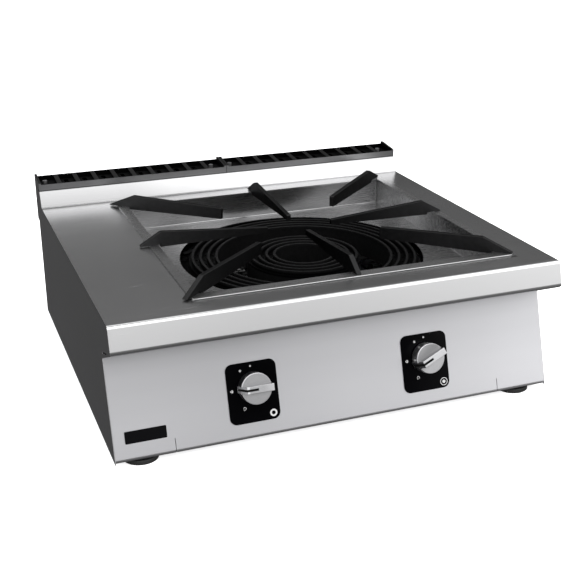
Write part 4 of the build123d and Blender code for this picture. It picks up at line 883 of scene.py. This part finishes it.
def white_backdrop():
    g = Graph("backdrop", Roughness=1.0)
    g.shader.inputs["Specular IOR Level"].default_value = 0.0
    soft = g.noise(g.coords(), 0.2, 1.0, 0.5)
    g.color(g.mix(soft, (0.0, 0.0, 0.0), (0.01, 0.01, 0.01)))
    g.link(g.mix(soft, (0.99, 0.99, 0.99), (1.0, 1.0, 1.0)), g.shader.inputs["Emission Color"])
    g.shader.inputs["Emission Strength"].default_value = 1.0
    return g.mat


bm = bmesh.new()
bmesh.ops.create_circle(bm, cap_ends=True, segments=96, radius=30.0)
mesh = bpy.data.meshes.new("floor")
bm.to_mesh(mesh)
bm.free()
mesh.materials.append(white_floor())
floor = bpy.data.objects.new("floor", mesh)
scene.collection.objects.link(floor)
floor.location = (0, 0, 0)
floor.visible_glossy = False

# a plain white backdrop that only the eye sees; it casts and lights nothing
bm = bmesh.new()
bmesh.ops.create_uvsphere(bm, u_segments=48, v_segments=24, radius=29.9)
bmesh.ops.delete(bm, geom=[v for v in bm.verts if v.co.z < -0.01], context="VERTS")
mesh = bpy.data.meshes.new("backdrop")
bm.to_mesh(mesh)
bm.free()
mesh.materials.append(white_backdrop())
dome = bpy.data.objects.new("backdrop", mesh)
scene.collection.objects.link(dome)
for flag in ("visible_glossy", "visible_diffuse", "visible_transmission", "visible_volume_scatter", "visible_shadow"):
    setattr(dome, flag, False)

world = bpy.data.worlds.new("studio")
scene.world = world
world.use_nodes = True
wt = world.node_tree
wt.nodes.clear()


def wnode(kind, **props):
    n = wt.nodes.new("ShaderNode" + kind)
    for k, v in props.items():
        setattr(n, k, v)
    return n


def wramp(value, stops, low, high):
    """A ramp of grey over `value` mapped from low..high to 0..1."""
    m = wnode("MapRange")
    wt.links.new(value, m.inputs[0])
    m.inputs[1].default_value, m.inputs[2].default_value = low, high
    r = wnode("ValToRGB")
    r.color_ramp.interpolation = "B_SPLINE" if len(stops) > 6 else "EASE"
    el = r.color_ramp.elements
    while len(el) < len(stops):
        el.new(0.5)
    for e, (at, grey) in zip(el, stops):
        e.position = (at - low) / (high - low)
        c = grey if isinstance(grey, tuple) else (grey,) * 3
        e.color = (*c, 1)
    wt.links.new(m.outputs[0], r.inputs[0])
    return r.outputs[0]


def wmath(op, a, b):
    n = wnode("Math", operation=op)
    for v, s in ((a, n.inputs[0]), (b, n.inputs[1])):
        if isinstance(v, bpy.types.NodeSocket):
            wt.links.new(v, s)
        else:
            s.default_value = v
    return n.outputs[0]


tc = wnode("TexCoord")
sep = wnode("SeparateXYZ")
wt.links.new(tc.outputs["Generated"], sep.inputs[0])
X, Y, Z = sep.outputs
# grey levels are fractions of 3.0
front_ramp = wramp(Z, [(-1, 0.05), (-0.15, 0.06), (0.0, 0.20), (0.12, 0.38), (0.30, 0.62), (0.55, 0.95), (1, 0.85)], -1, 1)
rear_ramp = wramp(Z, [(-1, 0.015), (-0.1, 0.022), (0.1, 0.030), (0.45, 0.036), (0.75, 0.26), (1, 0.85)], -1, 1)
across = wnode("MapRange")
wt.links.new(X, across.inputs[0])
for i, v in enumerate((0.10, 0.62, 0.66, 1.05)):
    across.inputs[1 + i].default_value = v
low = wnode("MapRange")
low.interpolation_type = "SMOOTHSTEP"
wt.links.new(Z, low.inputs[0])
for i, v in enumerate((0.20, 0.50, 0.0, 1.0)):
    low.inputs[1 + i].default_value = v
# the left-right fall-off counts for the lower front only
fall = wmath("MAXIMUM", across.outputs[0], low.outputs[0])
front_scaled = wnode("VectorMath", operation="SCALE")
wt.links.new(front_ramp, front_scaled.inputs[0])
wt.links.new(fall, front_scaled.inputs["Scale"])
front_ramp = front_scaled.outputs[0]
side = wnode("MapRange")
side.interpolation_type = "SMOOTHSTEP"
wt.links.new(Y, side.inputs[0])
side.inputs[1].default_value, side.inputs[2].default_value = 0.35, -0.25
mixw = wnode("Mix", data_type="RGBA")
wt.links.new(side.outputs[0], mixw.inputs[0])
wt.links.new(rear_ramp, mixw.inputs[6])
wt.links.new(front_ramp, mixw.inputs[7])
# the ceiling is dimmer, so the worktop isn't burnt out from straight above
zenith = wnode("MapRange")
zenith.interpolation_type = "SMOOTHSTEP"
wt.links.new(Z, zenith.inputs[0])
for i, v in enumerate((0.905, 0.975, 1.0, 0.12)):
    zenith.inputs[1 + i].default_value = v
sky = wnode("VectorMath", operation="SCALE")
wt.links.new(mixw.outputs[2], sky.inputs[0])
wt.links.new(zenith.outputs[0], sky.inputs["Scale"])
bg = wnode("Background")
wt.links.new(sky.outputs[0], bg.inputs[0])
bg.inputs[1].default_value = 3.0
wo = wnode("OutputWorld")
wt.links.new(bg.outputs[0], wo.inputs[0])

scene.view_settings.view_transform = "Standard"
scene.view_settings.look = "None"
scene.view_settings.exposure = 0.0
scene.view_settings.gamma = 1.0
